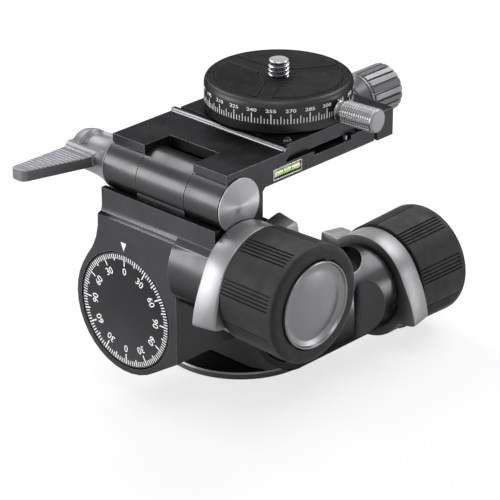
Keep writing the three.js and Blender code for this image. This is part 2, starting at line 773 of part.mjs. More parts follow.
function buildDrive(name, group, wormCentre, pitchRadius, facingTurn, journalEnd, ringTurn) {
  const wormSolid = threadSolid(pitchRadius, facingTurn).translate([wormCentre, 0, 0])
    .add(bar('x', shaft.radius, wormCentre, hub.end, {}, smallSides))
    .add(bar('x', shaft.journal, journalEnd, wormCentre, {}, smallSides));
  addPiece(`${name}_worm`, wormSolid, 'steel', group);
  const bearingEnd = bearing.start + bearing.length;
  addPiece(`${name}_worm_bearing`, tube('x', shaft.radius + gap, bearing.radius, bearing.start + gap, bearingEnd), 'bright',
    group);
  const outer = ringSolid()
    .subtract(bar('x', ring.bore, -overrun, ring.thickness + overrun))
    .rotate([ringTurn, 0, 0]);
  addPiece(`${name}_release_ring`, outer, 'satin', group);
  addPiece(`${name}_knob_hub`, turned('x', [
    [shaft.radius + gap, hub.start - hub.collarLength],
    [hub.collar, hub.start - hub.collarLength],
    [hub.collar, hub.start],
    [hub.radius, hub.start],
    [hub.radius, hub.end],
    [shaft.radius + gap, hub.end],
  ]), 'satin', group);
  addPiece(`${name}_knob_grip`, turned('x', [
    [hub.radius + gap, grip.start],
    [grip.backRadius, grip.start],
    [grip.radius, grip.end - grip.frontRound],
    [(grip.radius + grip.frontRadius) / 2 + gap, grip.end - gap],
    [grip.frontRadius, grip.end],
    [grip.lipRadius, grip.end],
    [grip.lipRadius, grip.end - grip.lipThickness],
    [hub.radius + gap, grip.end - grip.lipThickness],
  ], {}, fineSides), 'rubber', group);
  addPiece(`${name}_knob_cap`, turned('x', [
    [0, hub.end],
    [cap.radius, hub.end],
    [cap.radius, cap.rim - cap.edge],
    [cap.radius - cap.edge, cap.rim],
    [cap.radius - cap.rimWidth, cap.rim],
    [cap.radius - cap.rimWidth - cap.dish, cap.rim - cap.dish],
    [cap.radius / 2, cap.rim],
    [0, cap.rim - cap.dish + cap.rise],
  ]), 'satin', group);
}

function buildDrives() {
  const tiltDrive = new THREE.Group();
  tiltDrive.position.set(tiltBarrelEnd, blockMiddle, tiltWormHeight);
  head.add(tiltDrive);
  buildDrive('tilt', tiltDrive, -tiltBarrelEnd, tiltWormRadius, -90, tiltBore.journalEnd + gap - tiltBarrelEnd,
    tiltRingTurn);
  const panDrive = new THREE.Group();
  panDrive.position.set(panWormDistance, panBarrel.front, panWormHeight);
  panDrive.rotation.z = Math.PI / 2;
  head.add(panDrive);
  buildDrive('pan', panDrive, -panBarrel.front, panWormRadius, 0, panBarrel.back - panBarrel.front, panRingTurn);
}

// Platform: two hinge knuckles, the clamp channel and its fixed lip

function platformOutline() {
  const halfFront = blockMiddle - hinge.radius / 2;
  return [
    [halfFront, platform.frontBottom],
    [platform.front, platform.frontBottom],
    [platform.front, platform.top],
    [platform.lipFront, platform.top],
    [platform.lipFront + platform.lipRound / 2, platform.lipTop - platform.lipRound / 3],
    [platform.lipFront + platform.lipRound, platform.lipTop],
    [platform.lipBack - platform.lipRound, platform.lipTop],
    [platform.lipBack, platform.lipTop - platform.lipRound],
    [platform.lipBack, platform.floor + gap + dovetail.footHeight + dovetail.bevel],
    [dovetail.bottomFront - gap, platform.floor + gap + dovetail.footHeight],
    [dovetail.bottomFront - gap, platform.floor],
    [platform.end, platform.floor],
    [platform.end, platform.underside],
    [platform.knuckleBack + overrun, platform.underside],
    [platform.knuckleBack, platform.underside - overrun],
    [platform.knuckleBack, platform.knuckleBottom],
    [blockMiddle, platform.knuckleBottom],
  ];
}

const guidePlaces = [-1, 1].map((side) => ({ x: hinge.middleX + side * guidePin.offset, z: clampAxisHeight }));
const stopPlaces = stopPin.places.map((y) => ({ x: stopPin.x, y }));

function buildPlatform() {
  const knuckleLeft = hinge.middleX - hinge.knuckleHalf - gap;
  const knuckleRight = hinge.middleX + hinge.knuckleHalf + gap;
  const clampCentre = { x: hinge.middleX, z: clampAxisHeight };
  const levelLow = level.middleY - level.length / 2;
  const levelHigh = level.middleY + level.length / 2;
  const levelBottom = level.middleZ - level.height / 2;
  const levelTop = level.middleZ + level.height / 2;
  const levelBack = platform.right - level.depth;
  const pinCut = (place) => bar('y', guidePin.radius + gap, guidePin.start - gap, platform.end + overrun, place, smallSides);
  const stopCut = (place) => bar('z', stopPin.radius + gap, stopPin.bottom - gap, platform.top, place, screwSides);
  const body = plate('x', platformOutline(), platform.left, platform.right)
    .add(bar('x', hinge.radius, platform.left, platform.right, flipCentre, fineSides))
    .add(box([hinge.middleX - platform.ribHalf, hinge.middleX + platform.ribHalf],
      [platform.ribFront, platform.end], [platform.ribBottom, clampAxisHeight]))
    .subtract(box([knuckleLeft, knuckleRight], [platform.front - overrun, platform.windowBack],
      [platform.knuckleBottom - overrun, platform.top + overrun]))
    .subtract(bar('x', hinge.channel, knuckleLeft, knuckleRight, flipCentre, fineSides))
    .subtract(box([knuckleLeft, knuckleRight], [platform.windowBack - overrun, platform.knuckleBack + overrun],
      [platform.knuckleBottom - overrun, flipHeight]))
    .subtract(bar('x', hinge.pinRadius + gap, platform.left - overrun, platform.right + overrun, flipCentre, smallSides))
    .subtract(box([platform.left - overrun, platform.right + overrun], [platform.slotFront, platform.slotBack],
      [platform.slotFloor, platform.top]))
    .subtract(box([levelBack - gap, platform.right + overrun], [levelLow - gap, levelHigh + gap],
      [levelBottom - gap, levelTop + gap]))
    .subtract(joined(guidePlaces.map(pinCut)))
    .subtract(bar('y', clampScrew.radius + gap, clampScrew.start - gap, platform.end + overrun, clampCentre, smallSides))
    .subtract(joined(stopPlaces.map(stopCut)));
  addPiece('platform', body, 'black');
  const window = box([levelBack + level.wall, platform.right + overrun],
    [levelLow + level.wall, levelHigh - level.wall], [levelBottom + level.wall, levelTop - level.wall]);
  addPiece('level_frame', box([levelBack, platform.right], [levelLow, levelHigh], [levelBottom, levelTop])
    .subtract(window), 'satin');
  const vialSpan = level.length / 2 - level.wall - gap;
  addPiece('level_vial', bar('y', level.vial, level.middleY - vialSpan, level.middleY + vialSpan,
    { x: platform.right - level.vial - gap, z: level.middleZ }, smallSides), 'vial');
  addPieces('stop_pin', stopPlaces, (place) => (
    bar('z', stopPin.radius, stopPin.bottom, stopPin.top, place, screwSides)
  ), 'steel');
  addPieces('guide_pin', guidePlaces, (place) => (
    bar('y', guidePin.radius, guidePin.start, guidePin.end, place, smallSides)
  ), 'steel');
}

// Lever that locks the flip hinge

function buildFlipLever() {
  const inner = platform.left - gap;
  const outer = inner - lever.hubLength;
  const hubSolid = turned('x', [
    [0, outer],
    [lever.hubOuterRadius - lever.hubRound, outer],
    [lever.hubOuterRadius, outer + lever.hubRound],
    [lever.hubOuterRadius, outer + 2 * lever.hubRound],
    [lever.hubWaist, inner - lever.hubWaistX],
    [lever.hubInnerRadius, inner - lever.hubCollar],
    [lever.hubInnerRadius, inner],
    [0, inner],
  ], flipCentre);
  const blade = plate('z', [
    [lever.rootInnerX, blockMiddle],
    [outer, blockMiddle],
    [outer, lever.rootY],
    [lever.tipOuterX, lever.tipY + lever.tipCut],
    [lever.tipOuterX + lever.tipCut, lever.tipY],
    [lever.tipInnerX - lever.tipCut / 2, lever.tipY],
    [lever.tipInnerX, lever.tipY + lever.tipCut / 2],
    [lever.rootInnerX, lever.rootY],
  ], flipHeight + lever.bottom, flipHeight + lever.top);
  const headInner = outer + lever.screwHeadDepth;
  const solid = hubSolid.add(blade)
    .subtract(bar('x', lever.screwRadius + gap, outer - overrun, inner + overrun, flipCentre, smallSides))
    .subtract(bar('x', lever.screwHead + gap, outer - overrun, headInner + gap, flipCentre, smallSides));
  addPiece('flip_lever', solid, 'satin');
  const screw = bar('x', lever.screwHead, outer + gap, headInner, flipCentre, smallSides)
    .add(bar('x', lever.screwRadius, outer + gap, lever.screwEnd, flipCentre, smallSides));
  addPiece('flip_lever_screw', screw, 'steel');
}

// Moving jaw with its ribbed knob

function buildClamp() {
  const clampCentre = { x: hinge.middleX, z: clampAxisHeight };
  const tipY = dovetail.bottomBack - dovetail.bevel + gap;
  const outline = [
    [jaw.inner, jaw.bottom],
    [jaw.outer, jaw.bottom],
    [jaw.outer, jaw.top],
    [jaw.topFront, jaw.top],
    [tipY, jaw.tipHeight + 2 * gap],
    [tipY, platform.floor + gap + dovetail.footHeight + dovetail.bevel],
    [dovetail.bottomBack + gap, platform.floor + gap + dovetail.footHeight],
    [jaw.inner, platform.floor + gap + dovetail.footHeight],
  ];
  const jawSolid = plate('x', outline, platform.left, platform.right)
    .subtract(joined(guidePlaces.map((place) => (
      bar('y', guidePin.radius + gap, jaw.inner - overrun, guidePin.end + gap, place, smallSides)
    ))))
    .subtract(bar('y', clampScrew.radius + gap, jaw.inner - overrun, jaw.outer + overrun, clampCentre, smallSides));
  addPiece('clamp_jaw', jawSolid, 'black');
  const ribOutline = [];
  for (let i = 0; i < clampKnob.ribs; i += 1) {
    const pitch = 360 / clampKnob.ribs;
    const [landEnd, grooveStart, grooveEnd] = clampKnob.rib_shares.map((share) => (i + share) * pitch);
    const land = arc(0, 0, clampKnob.radius, i * pitch, landEnd, 1);
    const groove = arc(0, 0, clampKnob.radius - clampKnob.ribDepth, grooveStart, grooveEnd, 1);
    ribOutline.push(...land, ...groove);
  }
  const ribs = plate('y', ribOutline.map(([u, v]) => [u + hinge.middleX, v + clampAxisHeight]),
    clampKnob.ribStart, clampKnob.end);
  const boreCut = bar('y', clampScrew.radius + gap, jaw.outer, clampKnob.end - overrun, clampCentre, smallSides);
  const bodySolid = turned('y', [
    [0, jaw.outer + gap],
    [clampKnob.neckRadius, jaw.outer + gap],
    [clampKnob.neckRadius, clampKnob.neckEnd],
    [clampKnob.radius - clampKnob.ribDepth, clampKnob.flareEnd],
    [clampKnob.radius - clampKnob.ribDepth, clampKnob.end],
    [clampKnob.radius - clampKnob.ribDepth - clampKnob.chamfer, clampKnob.end + clampKnob.chamfer],
    [0, clampKnob.end + clampKnob.chamfer],
  ], clampCentre);
  addPiece('clamp_knob', bodySolid.add(ribs).subtract(boreCut), 'satin');
  addPiece('clamp_screw', bar('y', clampScrew.radius, clampScrew.start, clampKnob.end - 2 * overrun, clampCentre,
    smallSides), 'steel');
}

// Dovetail plate with the drum, the turning disc and the camera screw

const drumCentre = { x: drum.x, y: drum.y };

const drumScrewPlaces = circlePlaces(drumScrew.turns, drumScrew.circle, drumCentre);

function lockBar(radius, from, to, count = smallSides) {
  const geometry = new THREE.CylinderGeometry(radius, radius, to - from, count);
  geometry.rotateZ(Math.PI / 2);
  geometry.translate((from + to) / 2, 0, 0);
  geometry.rotateZ(radians(lockKnob.turn));
  geometry.translate(drum.x, drum.y, drum.bottom + lockKnob.rise);
  return solidOf(geometry);
}

// A sector between two straight strips of equal width
function padOutline(turn, grow) {
  const half = pad.spacing / 2 - grow;
  const outer = pad.outer + grow;
  const inner = pad.inner - grow;
  const outerHalf = padSpread / 2 - THREE.MathUtils.radToDeg(Math.asin(half / outer));
  const innerHalf = padSpread / 2 - THREE.MathUtils.radToDeg(Math.asin(half / inner));
  return [
    ...arc(drum.x, drum.y, outer, turn - outerHalf, turn + outerHalf, roundSides / 2),
    ...arc(drum.x, drum.y, inner, turn + innerHalf, turn - innerHalf, screwSides / 2),
  ];
}

function buildDrum() {
  const plateBottom = platform.floor + gap;
  const foot = plateBottom + dovetail.footHeight;
  const outline = [
    [dovetail.bottomFront, plateBottom],
    [dovetail.bottomFront, foot],
    [dovetail.bottomFront + dovetail.bevel, foot + dovetail.bevel],
    [dovetail.bottomFront + dovetail.bevel, dovetail.top],
    [dovetail.bottomBack - dovetail.bevel, dovetail.top],
    [dovetail.bottomBack - dovetail.bevel, foot + dovetail.bevel],
    [dovetail.bottomBack, foot],
    [dovetail.bottomBack, plateBottom],
  ];
  const headTop = plateBottom + drumScrew.headHeight;
  const screwTop = plateBottom + drumScrew.length;
  const plateSolid = plate('x', outline, dovetail.left, dovetail.right)
    .subtract(bar('z', plateStop.radius + gap, dovetail.top - plateStop.depth, dovetail.top + overrun, plateStop,
      screwSides))
    .subtract(joined(drumScrewPlaces.map((place) => (
      bar('z', drumScrew.headRadius + gap, plateBottom - overrun, headTop + gap, place, screwSides)
        .add(bar('z', drumScrew.radius + gap, plateBottom, dovetail.top + overrun, place, screwSides))
    ))));
  addPiece('dovetail_plate', plateSolid, 'black');
  addPiece('plate_stop_screw', turned('z', [
    [0, dovetail.top - plateStop.depth + gap],
    [plateStop.radius, dovetail.top - plateStop.depth + gap],
    [plateStop.radius, dovetail.top + gap],
    [plateStop.radius / 2, dovetail.top + plateStop.rise],
    [0, dovetail.top + plateStop.rise],
  ], { x: plateStop.x, y: plateStop.y }, screwSides), 'steel');
  const drumSolid = turned('z', [
    [0, drum.bottom],
    [drum.radius - gap, drum.bottom],
    [drum.radius, drum.bottom + gap],
    [drum.radius, drumTop - drum.chamfer],
    [drum.radius - drum.chamfer, drumTop],
    [drum.ledgeRadius + gap, drumTop],
    [drum.ledgeRadius + gap, drumLedge],
    [drum.cavityRadius, drumLedge],
    [drum.cavityRadius, drumFloor],
    [0, drumFloor],
  ], drumCentre, fineSides)
    .subtract(bar('z', disc.stemRadius + gap, drum.bottom - overrun, drumFloor + overrun, drumCentre))
    .subtract(bar('z', retaining.outer + gap, drum.bottom - overrun, stemBottom + gap, drumCentre))
    .subtract(joined(drumScrewPlaces.map((place) => (
      bar('z', drumScrew.radius + gap, drum.bottom - overrun, screwTop + gap, place, screwSides)
    ))))
    .subtract(lockBar(lockKnob.screwRadius + gap, drum.cavityRadius - overrun, drum.radius + overrun));
  addPiece('pan_drum', drumSolid, 'black');
  addPieces('drum_screw', drumScrewPlaces, (place) => (
    bar('z', drumScrew.headRadius, plateBottom + gap, headTop, place, screwSides)
      .add(bar('z', drumScrew.radius, plateBottom + gap, screwTop, place, screwSides))
  ), 'steel');
}

function buildLockKnob() {
  const threadEnd = disc.hubRadius + gap;
  const knob = lockBar(lockKnob.screwRadius, threadEnd, lockKnob.neckStart + overrun)
    .add(lockBar(lockKnob.neckRadius, lockKnob.neckStart + gap, lockKnob.neckEnd + overrun))
    .add(lockBar(lockKnob.radius - lockKnob.chamfer, lockKnob.neckEnd, lockKnob.end, plainSides))
    .add(lockBar(lockKnob.radius, lockKnob.neckEnd + lockKnob.chamfer, lockKnob.end - lockKnob.chamfer, plainSides));
  addPiece('drum_lock_knob', knob, 'bright');
}

function buildDisc() {
  const discSolid = turned('z', [
    [0, stemBottom],
    [disc.stemRadius, stemBottom],
    [disc.stemRadius, drumFloor + gap],
    [disc.hubRadius, drumFloor + gap],
    [disc.hubRadius, discPlateBottom],
    [drum.ledgeRadius, discPlateBottom],
    [drum.ledgeRadius, drumTop],
    [0, drumTop],
  ], drumCentre, fineSides);
  const padAt = (turn, grow, from, to) => plate('z', padOutline(turn, grow), from, to);
  const floor = drumTop - disc.pocket;
  let body = discSolid;
  pad.turns.forEach((turn) => {
    body = body.subtract(padAt(turn, gap, floor, drumTop + overrun));
  });
  body = body
    .subtract(bar('z', cameraScrew.radius + gap, screwHeadTop, drumTop + overrun, drumCentre, smallSides))
    .subtract(bar('z', cameraScrew.headRadius + gap, drum.bottom, screwHeadTop + gap, drumCentre, plainSides));
  addPiece('disc_plate', body, 'black');
  const names = ['grip_pad_left', 'grip_pad_right', 'grip_pad_back'];
  names.forEach((name, i) => addPiece(name, padAt(pad.turns[i], 0, floor, floor + pad.thickness), 'rubber'));
  addPiece('retaining_ring', tube('z', retaining.inner, retaining.outer, stemBottom - retaining.thickness,
    stemBottom, drumCentre, plainSides), 'steel');
  addPiece('camera_screw', turned('z', [
    [0, screwHeadBottom],
    [cameraScrew.headRadius, screwHeadBottom],
    [cameraScrew.headRadius, screwHeadTop],
    [cameraScrew.radius, screwHeadTop],
    [cameraScrew.radius, drumTop + cameraScrew.rise - cameraScrew.chamfer],
    [cameraScrew.radius - cameraScrew.chamfer, drumTop + cameraScrew.rise],
    [0, drumTop + cameraScrew.rise],
  ], drumCentre, smallSides), 'bright');
}

buildBase();
buildPanHousing();
buildTiltGear();
buildTiltBlock();
buildDrives();
buildPlatform();
buildFlipLever();
buildClamp();
buildDrum();
buildLockKnob();
buildDisc();

export default head;
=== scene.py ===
import json
import math
import bmesh
import bpy
from mathutils import Matrix, Vector


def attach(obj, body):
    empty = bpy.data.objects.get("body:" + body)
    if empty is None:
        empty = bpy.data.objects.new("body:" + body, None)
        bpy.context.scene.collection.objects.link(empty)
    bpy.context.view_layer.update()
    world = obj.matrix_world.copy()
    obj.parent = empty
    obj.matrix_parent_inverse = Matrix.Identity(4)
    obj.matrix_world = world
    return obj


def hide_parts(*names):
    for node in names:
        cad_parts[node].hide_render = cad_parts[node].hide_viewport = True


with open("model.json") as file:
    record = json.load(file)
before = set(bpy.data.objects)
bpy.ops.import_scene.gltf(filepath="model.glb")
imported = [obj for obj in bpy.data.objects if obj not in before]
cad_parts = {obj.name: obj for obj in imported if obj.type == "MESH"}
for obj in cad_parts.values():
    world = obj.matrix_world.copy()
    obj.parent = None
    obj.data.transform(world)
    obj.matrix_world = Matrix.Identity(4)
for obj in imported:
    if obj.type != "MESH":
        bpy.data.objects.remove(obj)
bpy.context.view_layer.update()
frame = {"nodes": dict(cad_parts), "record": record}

MM = 0.001
scene = bpy.context.scene
nodes = frame["nodes"]

# Places that the pieces share, in millimetres. Z is up and the dial faces -Y
BLOCK_FACE = -49.87
DIAL_FACE = -49.77
TILT_AXIS_Z = 29.5
TILT_WORM_Z = 49.5
MIDDLE_Y = -38.4
FLIP_Z = 71.0
DRUM_X = 12.45
DRUM_Y = 3.6
TILT_DRIVE = Matrix.Translation((36.3, MIDDLE_Y, TILT_WORM_Z))
PAN_DRIVE = Matrix.Translation((28.5, 25.6, 20.75)) @ Matrix.Rotation(math.pi / 2, 4, "Z")
DRUM = Matrix.Translation((DRUM_X, DRUM_Y, 0))
CLAMP_Z = 75.2

# These turn a piece made round +Z so that its axis lies along another one
ALONG_X = Matrix(((0, 0, 1, 0), (1, 0, 0, 0), (0, 1, 0, 0), (0, 0, 0, 1)))
ALONG_Y = Matrix(((0, 1, 0, 0), (0, 0, 1, 0), (1, 0, 0, 0), (0, 0, 0, 1)))
# The dial faces -Y, with its zero mark up
ON_DIAL = Matrix(((1, 0, 0, 0), (0, 0, 1, DIAL_FACE), (0, 1, 0, TILT_AXIS_Z), (0, 0, 0, 1)))

# A turned solid starts this far from its own axis
PINHOLE = 0.01
# Print lies this far outside the face that carries it
PRINT_LIFT = 0.02
# Edges of the CAD shapes that turn by more than the first angle, in degrees, are softened, and faces that
# differ by less than the second are joined
SHARP_ANGLE = 32
FLAT_ANGLE = 0.6
# Edges of a turned piece that turn by more than this stay crisp
TURNED_ANGLE = 40
# Points closer than this are one, in metres: on new pieces, and on the CAD shapes
WELD = 1e-7
CAD_WELD = 1e-6


# Materials

def new_material(name):
    material = bpy.data.materials.new(name)
    material.use_nodes = True
    tree = material.node_tree
    return material, tree, tree.nodes["Principled BSDF"]


def grey(level, blue=None):
    return (level, level, level if blue is None else blue)


def noise(tree, scale, detail, stretch=(1, 1, 1)):
    coords = tree.nodes.new("ShaderNodeTexCoord")
    mapping = tree.nodes.new("ShaderNodeMapping")
    mapping.inputs["Scale"].default_value = stretch
    texture = tree.nodes.new("ShaderNodeTexNoise")
    texture.inputs["Scale"].default_value = scale
    texture.inputs["Detail"].default_value = detail
    tree.links.new(coords.outputs["Object"], mapping.inputs["Vector"])
    tree.links.new(mapping.outputs["Vector"], texture.inputs["Vector"])
    return texture.outputs["Fac"]


def remap(tree, value, low, high, start=0.3, end=0.7):
    node = tree.nodes.new("ShaderNodeMapRange")
    node.inputs["From Min"].default_value = start
    node.inputs["From Max"].default_value = end
    node.inputs["To Min"].default_value = low
    node.inputs["To Max"].default_value = high
    tree.links.new(value, node.inputs["Value"])
    return node.outputs["Result"]


def colour_mix(tree, factor):
    """A colour mix node with its factor linked, and its two colour inputs and output."""
    node = tree.nodes.new("ShaderNodeMix")
    node.data_type = "RGBA"
    tree.links.new(factor, node.inputs["Factor"])
    return node.inputs[6], node.inputs[7], node.outputs[2]


def mix_colours(tree, factor, first, second):
    from_colour, to_colour, mixed = colour_mix(tree, factor)
    from_colour.default_value = (*first, 1)
    to_colour.default_value = (*second, 1)
    return mixed


def edge_mask(tree, reach, low=0.02, high=0.25):
    """One near a sharp edge and zero on open faces, reach in millimetres."""
    bevel = tree.nodes.new("ShaderNodeBevel")
    bevel.samples = 6
    bevel.inputs["Radius"].default_value = reach * MM
    geometry = tree.nodes.new("ShaderNodeNewGeometry")
    dot = tree.nodes.new("ShaderNodeVectorMath")
    dot.operation = "DOT_PRODUCT"
    tree.links.new(bevel.outputs["Normal"], dot.inputs[0])
    tree.links.new(geometry.outputs["Normal"], dot.inputs[1])
    return remap(tree, dot.outputs["Value"], 1, 0, 1 - high, 1 - low)


def bump(tree, shader, height, strength, distance):
    node = tree.nodes.new("ShaderNodeBump")
    node.inputs["Strength"].default_value = strength
    node.inputs["Distance"].default_value = distance * MM
    tree.links.new(height, node.inputs["Height"])
    tree.links.new(node.outputs["Normal"], shader.inputs["Normal"])


def finish_metal(name, base, edge, rough, metallic=1, grain=5200, depth=0.006, stretch=(1, 1, 1), tint=1.0):
    """Blasted or brushed metal: cloudy tone, edges painted lighter, partly for wear and partly as a painted
    highlight, and a fine grain.
    """
    material, tree, shader = new_material(name)
    clouds = remap(tree, noise(tree, scale=90, detail=4), low=0, high=1)
    face = mix_colours(tree, clouds, tuple(0.86 * c for c in base), base)
    scuffs = remap(tree, noise(tree, scale=600, detail=2), low=0.25, high=1)
    # Lighter edges: partly real wear, partly a painted highlight along every sharp edge
    wear_and_highlight = tree.nodes.new("ShaderNodeMath")
    wear_and_highlight.operation = "MULTIPLY"
    tree.links.new(edge_mask(tree, reach=0.35), wear_and_highlight.inputs[0])
    tree.links.new(scuffs, wear_and_highlight.inputs[1])
    open_face, worn_and_lit_edge, colour = colour_mix(tree, wear_and_highlight.outputs[0])
    tree.links.new(face, open_face)
    worn_and_lit_edge.default_value = (*edge, 1)
    tree.links.new(colour, shader.inputs["Base Color"])
    smudges = noise(tree, scale=140, detail=5)
    tree.links.new(remap(tree, smudges, rough - 0.05, rough + 0.06), shader.inputs["Roughness"])
    shader.inputs["Metallic"].default_value = metallic
    shader.inputs["Specular Tint"].default_value = (tint, tint, tint, 1)
    bump(tree, shader, noise(tree, grain, 2, stretch), strength=0.35, distance=depth)
    return material


def finish_rubber(name, base, shine=0.22):
    """Soft rubber with a little pale dust in its grain."""
    material, tree, shader = new_material(name)
    dust = remap(tree, noise(tree, scale=160, detail=5), 0, 1, start=0.35, end=0.75)
    paler = tuple(1.35 * c + 0.004 for c in base)
    tree.links.new(mix_colours(tree, dust, base, paler), shader.inputs["Base Color"])
    rough = remap(tree, noise(tree, scale=300, detail=4), low=0.52, high=0.68)
    tree.links.new(rough, shader.inputs["Roughness"])
    shader.inputs["Specular IOR Level"].default_value = shine
    bump(tree, shader, noise(tree, scale=3500, detail=3), strength=0.3, distance=0.03)
    return material


def finish_turned(name, base, rough, axis_centre, axis):
    """Face-turned metal: fine rings round an axis, with the fan of light that they throw."""
    material, tree, shader = new_material(name)
    coords = tree.nodes.new("ShaderNodeTexCoord")
    shift = tree.nodes.new("ShaderNodeMapping")
    shift.vector_type = "POINT"
    shift.inputs["Location"].default_value = tuple(-c * MM for c in axis_centre)
    tree.links.new(coords.outputs["Object"], shift.inputs["Vector"])
    rings = tree.nodes.new("ShaderNodeTexWave")
    rings.wave_type = "RINGS"
    rings.rings_direction = axis
    rings.inputs["Scale"].default_value = 900
    rings.inputs["Distortion"].default_value = 0.6
    tree.links.new(shift.outputs["Vector"], rings.inputs["Vector"])
    share = remap(tree, rings.outputs["Fac"], 0, 1, start=0, end=1)
    tone = mix_colours(tree, share, tuple(0.9 * c for c in base), base)
    tree.links.new(tone, shader.inputs["Base Color"])
    smudges = noise(tree, scale=150, detail=4)
    tree.links.new(remap(tree, smudges, rough - 0.01, rough + 0.01), shader.inputs["Roughness"])
    shader.inputs["Metallic"].default_value = 1
    shader.inputs["Anisotropic"].default_value = 0.9
    tangent = tree.nodes.new("ShaderNodeTangent")
    tangent.direction_type = "RADIAL"
    tangent.axis = axis
    tree.links.new(tangent.outputs["Tangent"], shader.inputs["Tangent"])
    bump(tree, shader, rings.outputs["Fac"], strength=0.12, distance=0.02)
    return material


def finish_print(name, base):
    """Matt ink of slightly uneven density."""
    material, tree, shader = new_material(name)
    ink = mix_colours(tree, noise(tree, scale=900, detail=3), tuple(0.86 * c for c in base), base)
    tree.links.new(ink, shader.inputs["Base Color"])
    rough = remap(tree, noise(tree, scale=500, detail=2), low=0.4, high=0.55)
    tree.links.new(rough, shader.inputs["Roughness"])
    return material


def finish_fluid(name, dark, light):
    """Tinted fluid under glass, for the level."""
    material, tree, shader = new_material(name)
    tint = mix_colours(tree, noise(tree, scale=300, detail=2), dark, light)
    tree.links.new(tint, shader.inputs["Base Color"])
    rough = remap(tree, noise(tree, scale=200, detail=2), low=0.05, high=0.1)
    tree.links.new(rough, shader.inputs["Roughness"])
    shader.inputs["Coat Weight"].default_value = 0.8
    shader.inputs["Coat Roughness"].default_value = 0.04
    shader.inputs["Subsurface Weight"].default_value = 0.25
    shader.inputs["Subsurface Scale"].default_value = 0.001
    return material


# Each metal: its name, its open faces, its edges (painted lighter, partly for wear and partly as a painted
# highlight) and its roughness
black = finish_metal("black_anodised", grey(0.056, 0.058), grey(0.24, 0.245), 0.29, metallic=0.92, tint=0.3)
# A lighter copy of the black for the skirt, painted light that lifts its shaded front
skirt_lit_black = finish_metal("skirt_painted_light", grey(0.075, 0.077), grey(0.16, 0.165), 0.42, metallic=0.6,
                           tint=0.3)
disc_black = finish_metal("disc_anodised", grey(0.046, 0.047), grey(0.12, 0.123), 0.42, metallic=0.92,
                          tint=0.2)
dial_black = finish_metal("dial_anodised", grey(0.043, 0.045), grey(0.16, 0.165), 0.42, metallic=0.92,
                          grain=6000, depth=0.004, tint=0.3)
# A lighter copy of the black for the base disc's side, painted light, and a pale grey for its top chamfer, a
# painted highlight
base_side_lit_black = finish_metal("base_side_painted_light", grey(0.1, 0.103), grey(0.2, 0.205), 0.42, metallic=0.45,
                          depth=0.004)
rim_highlight_paint = finish_metal("rim_highlight_paint", grey(0.5, 0.51), grey(0.56, 0.57), 0.4, metallic=0.5, depth=0.003)
lip_metal = finish_metal("lip_metal", grey(0.13, 0.134), grey(0.26, 0.265), 0.3, metallic=0.92, depth=0.003)
silver = finish_metal("silver_anodised", grey(0.205, 0.212), grey(0.5, 0.52), 0.42)
lever_silver = finish_metal("lever_anodised", grey(0.145, 0.152), grey(0.34, 0.352), 0.46, grain=4200)
cap_satin = finish_metal("cap_satin", grey(0.185, 0.193), grey(0.5, 0.52), 0.31, metallic=0.9, depth=0.005)
knob_metal = finish_metal("knob_metal", grey(0.11, 0.113), grey(0.26, 0.265), 0.38, depth=0.004)
lock_metal = finish_metal("lock_metal", grey(0.25, 0.256), grey(0.27, 0.276), 0.36, depth=0.004)
stud_metal = finish_metal("stud_metal", grey(0.42, 0.43), grey(0.6, 0.61), 0.22, depth=0.002)
bright = finish_metal("bright_metal", grey(0.34, 0.35), grey(0.65, 0.66), 0.28, depth=0.005)
steel = finish_metal("machined_steel", grey(0.28, 0.29), grey(0.5, 0.51), 0.3, grain=3000, depth=0.008,
                     stretch=(1, 1, 12))
bronze = finish_metal("gear_bronze", (0.42, 0.27, 0.1), (0.65, 0.47, 0.22), 0.34, grain=3000, depth=0.01)
hinge_turned = finish_turned("hinge_turned", grey(0.36, 0.37), 0.3, (0, MIDDLE_Y, FLIP_Z), "X")
rubber = finish_rubber("grip_rubber", grey(0.009, 0.0095))
pad_rubber = finish_rubber("pad_rubber", grey(0.004, 0.0043), shine=0.05)
rib_rubber = finish_rubber("pad_rib_rubber", grey(0.006, 0.0064), shine=0.08)
white = finish_print("white_print", grey(0.8))
bubble_white = finish_print("bubble_white", (0.8, 0.88, 0.7))
mark_black = finish_print("mark_black", grey(0.012))
fluid = finish_fluid("level_fluid", (0.36, 0.62, 0.14), (0.52, 0.78, 0.26))


# Mesh helpers

def set_smooth(mesh, angle):
    """Smooth faces, with the edges sharper than the angle kept crisp."""
    work = bmesh.new()
    work.from_mesh(mesh)
    limit = math.radians(angle)
    for face in work.faces:
        face.smooth = True
    for edge in work.edges:
        edge.smooth = len(edge.link_faces) == 2 and edge.calc_face_angle(0) < limit
    work.to_mesh(mesh)
    work.free()


def add_piece(name, points, faces, material, body, replaced=(), angle=35, place=None):
    """A new piece from points in millimetres, put in place by a matrix."""
    matrix = Matrix.Identity(4) if place is None else place
    mesh = bpy.data.meshes.new(name)
    mesh.from_pydata([tuple(MM * c for c in matrix @ Vector(p)) for p in points], [], faces)
    work = bmesh.new()
    work.from_mesh(mesh)
    bmesh.ops.remove_doubles(work, verts=work.verts, dist=WELD)
    bmesh.ops.recalc_face_normals(work, faces=work.faces)
    work.to_mesh(mesh)
    work.free()
    set_smooth(mesh, angle)
    piece = bpy.data.objects.new(name, mesh)
    scene.collection.objects.link(piece)
    mesh.materials.append(material)
    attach(piece, body)
    if replaced:
        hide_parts(*replaced)
    return piece


def bevel_edges(piece, width, angle):
    """Softens the edges that are sharper than the angle, by a width in millimetres."""
    edges = piece.modifiers.new("edges", "BEVEL")
    edges.width = width * MM
    edges.segments = 2
    edges.limit_method = "ANGLE"
    edges.angle_limit = math.radians(angle)
    return edges


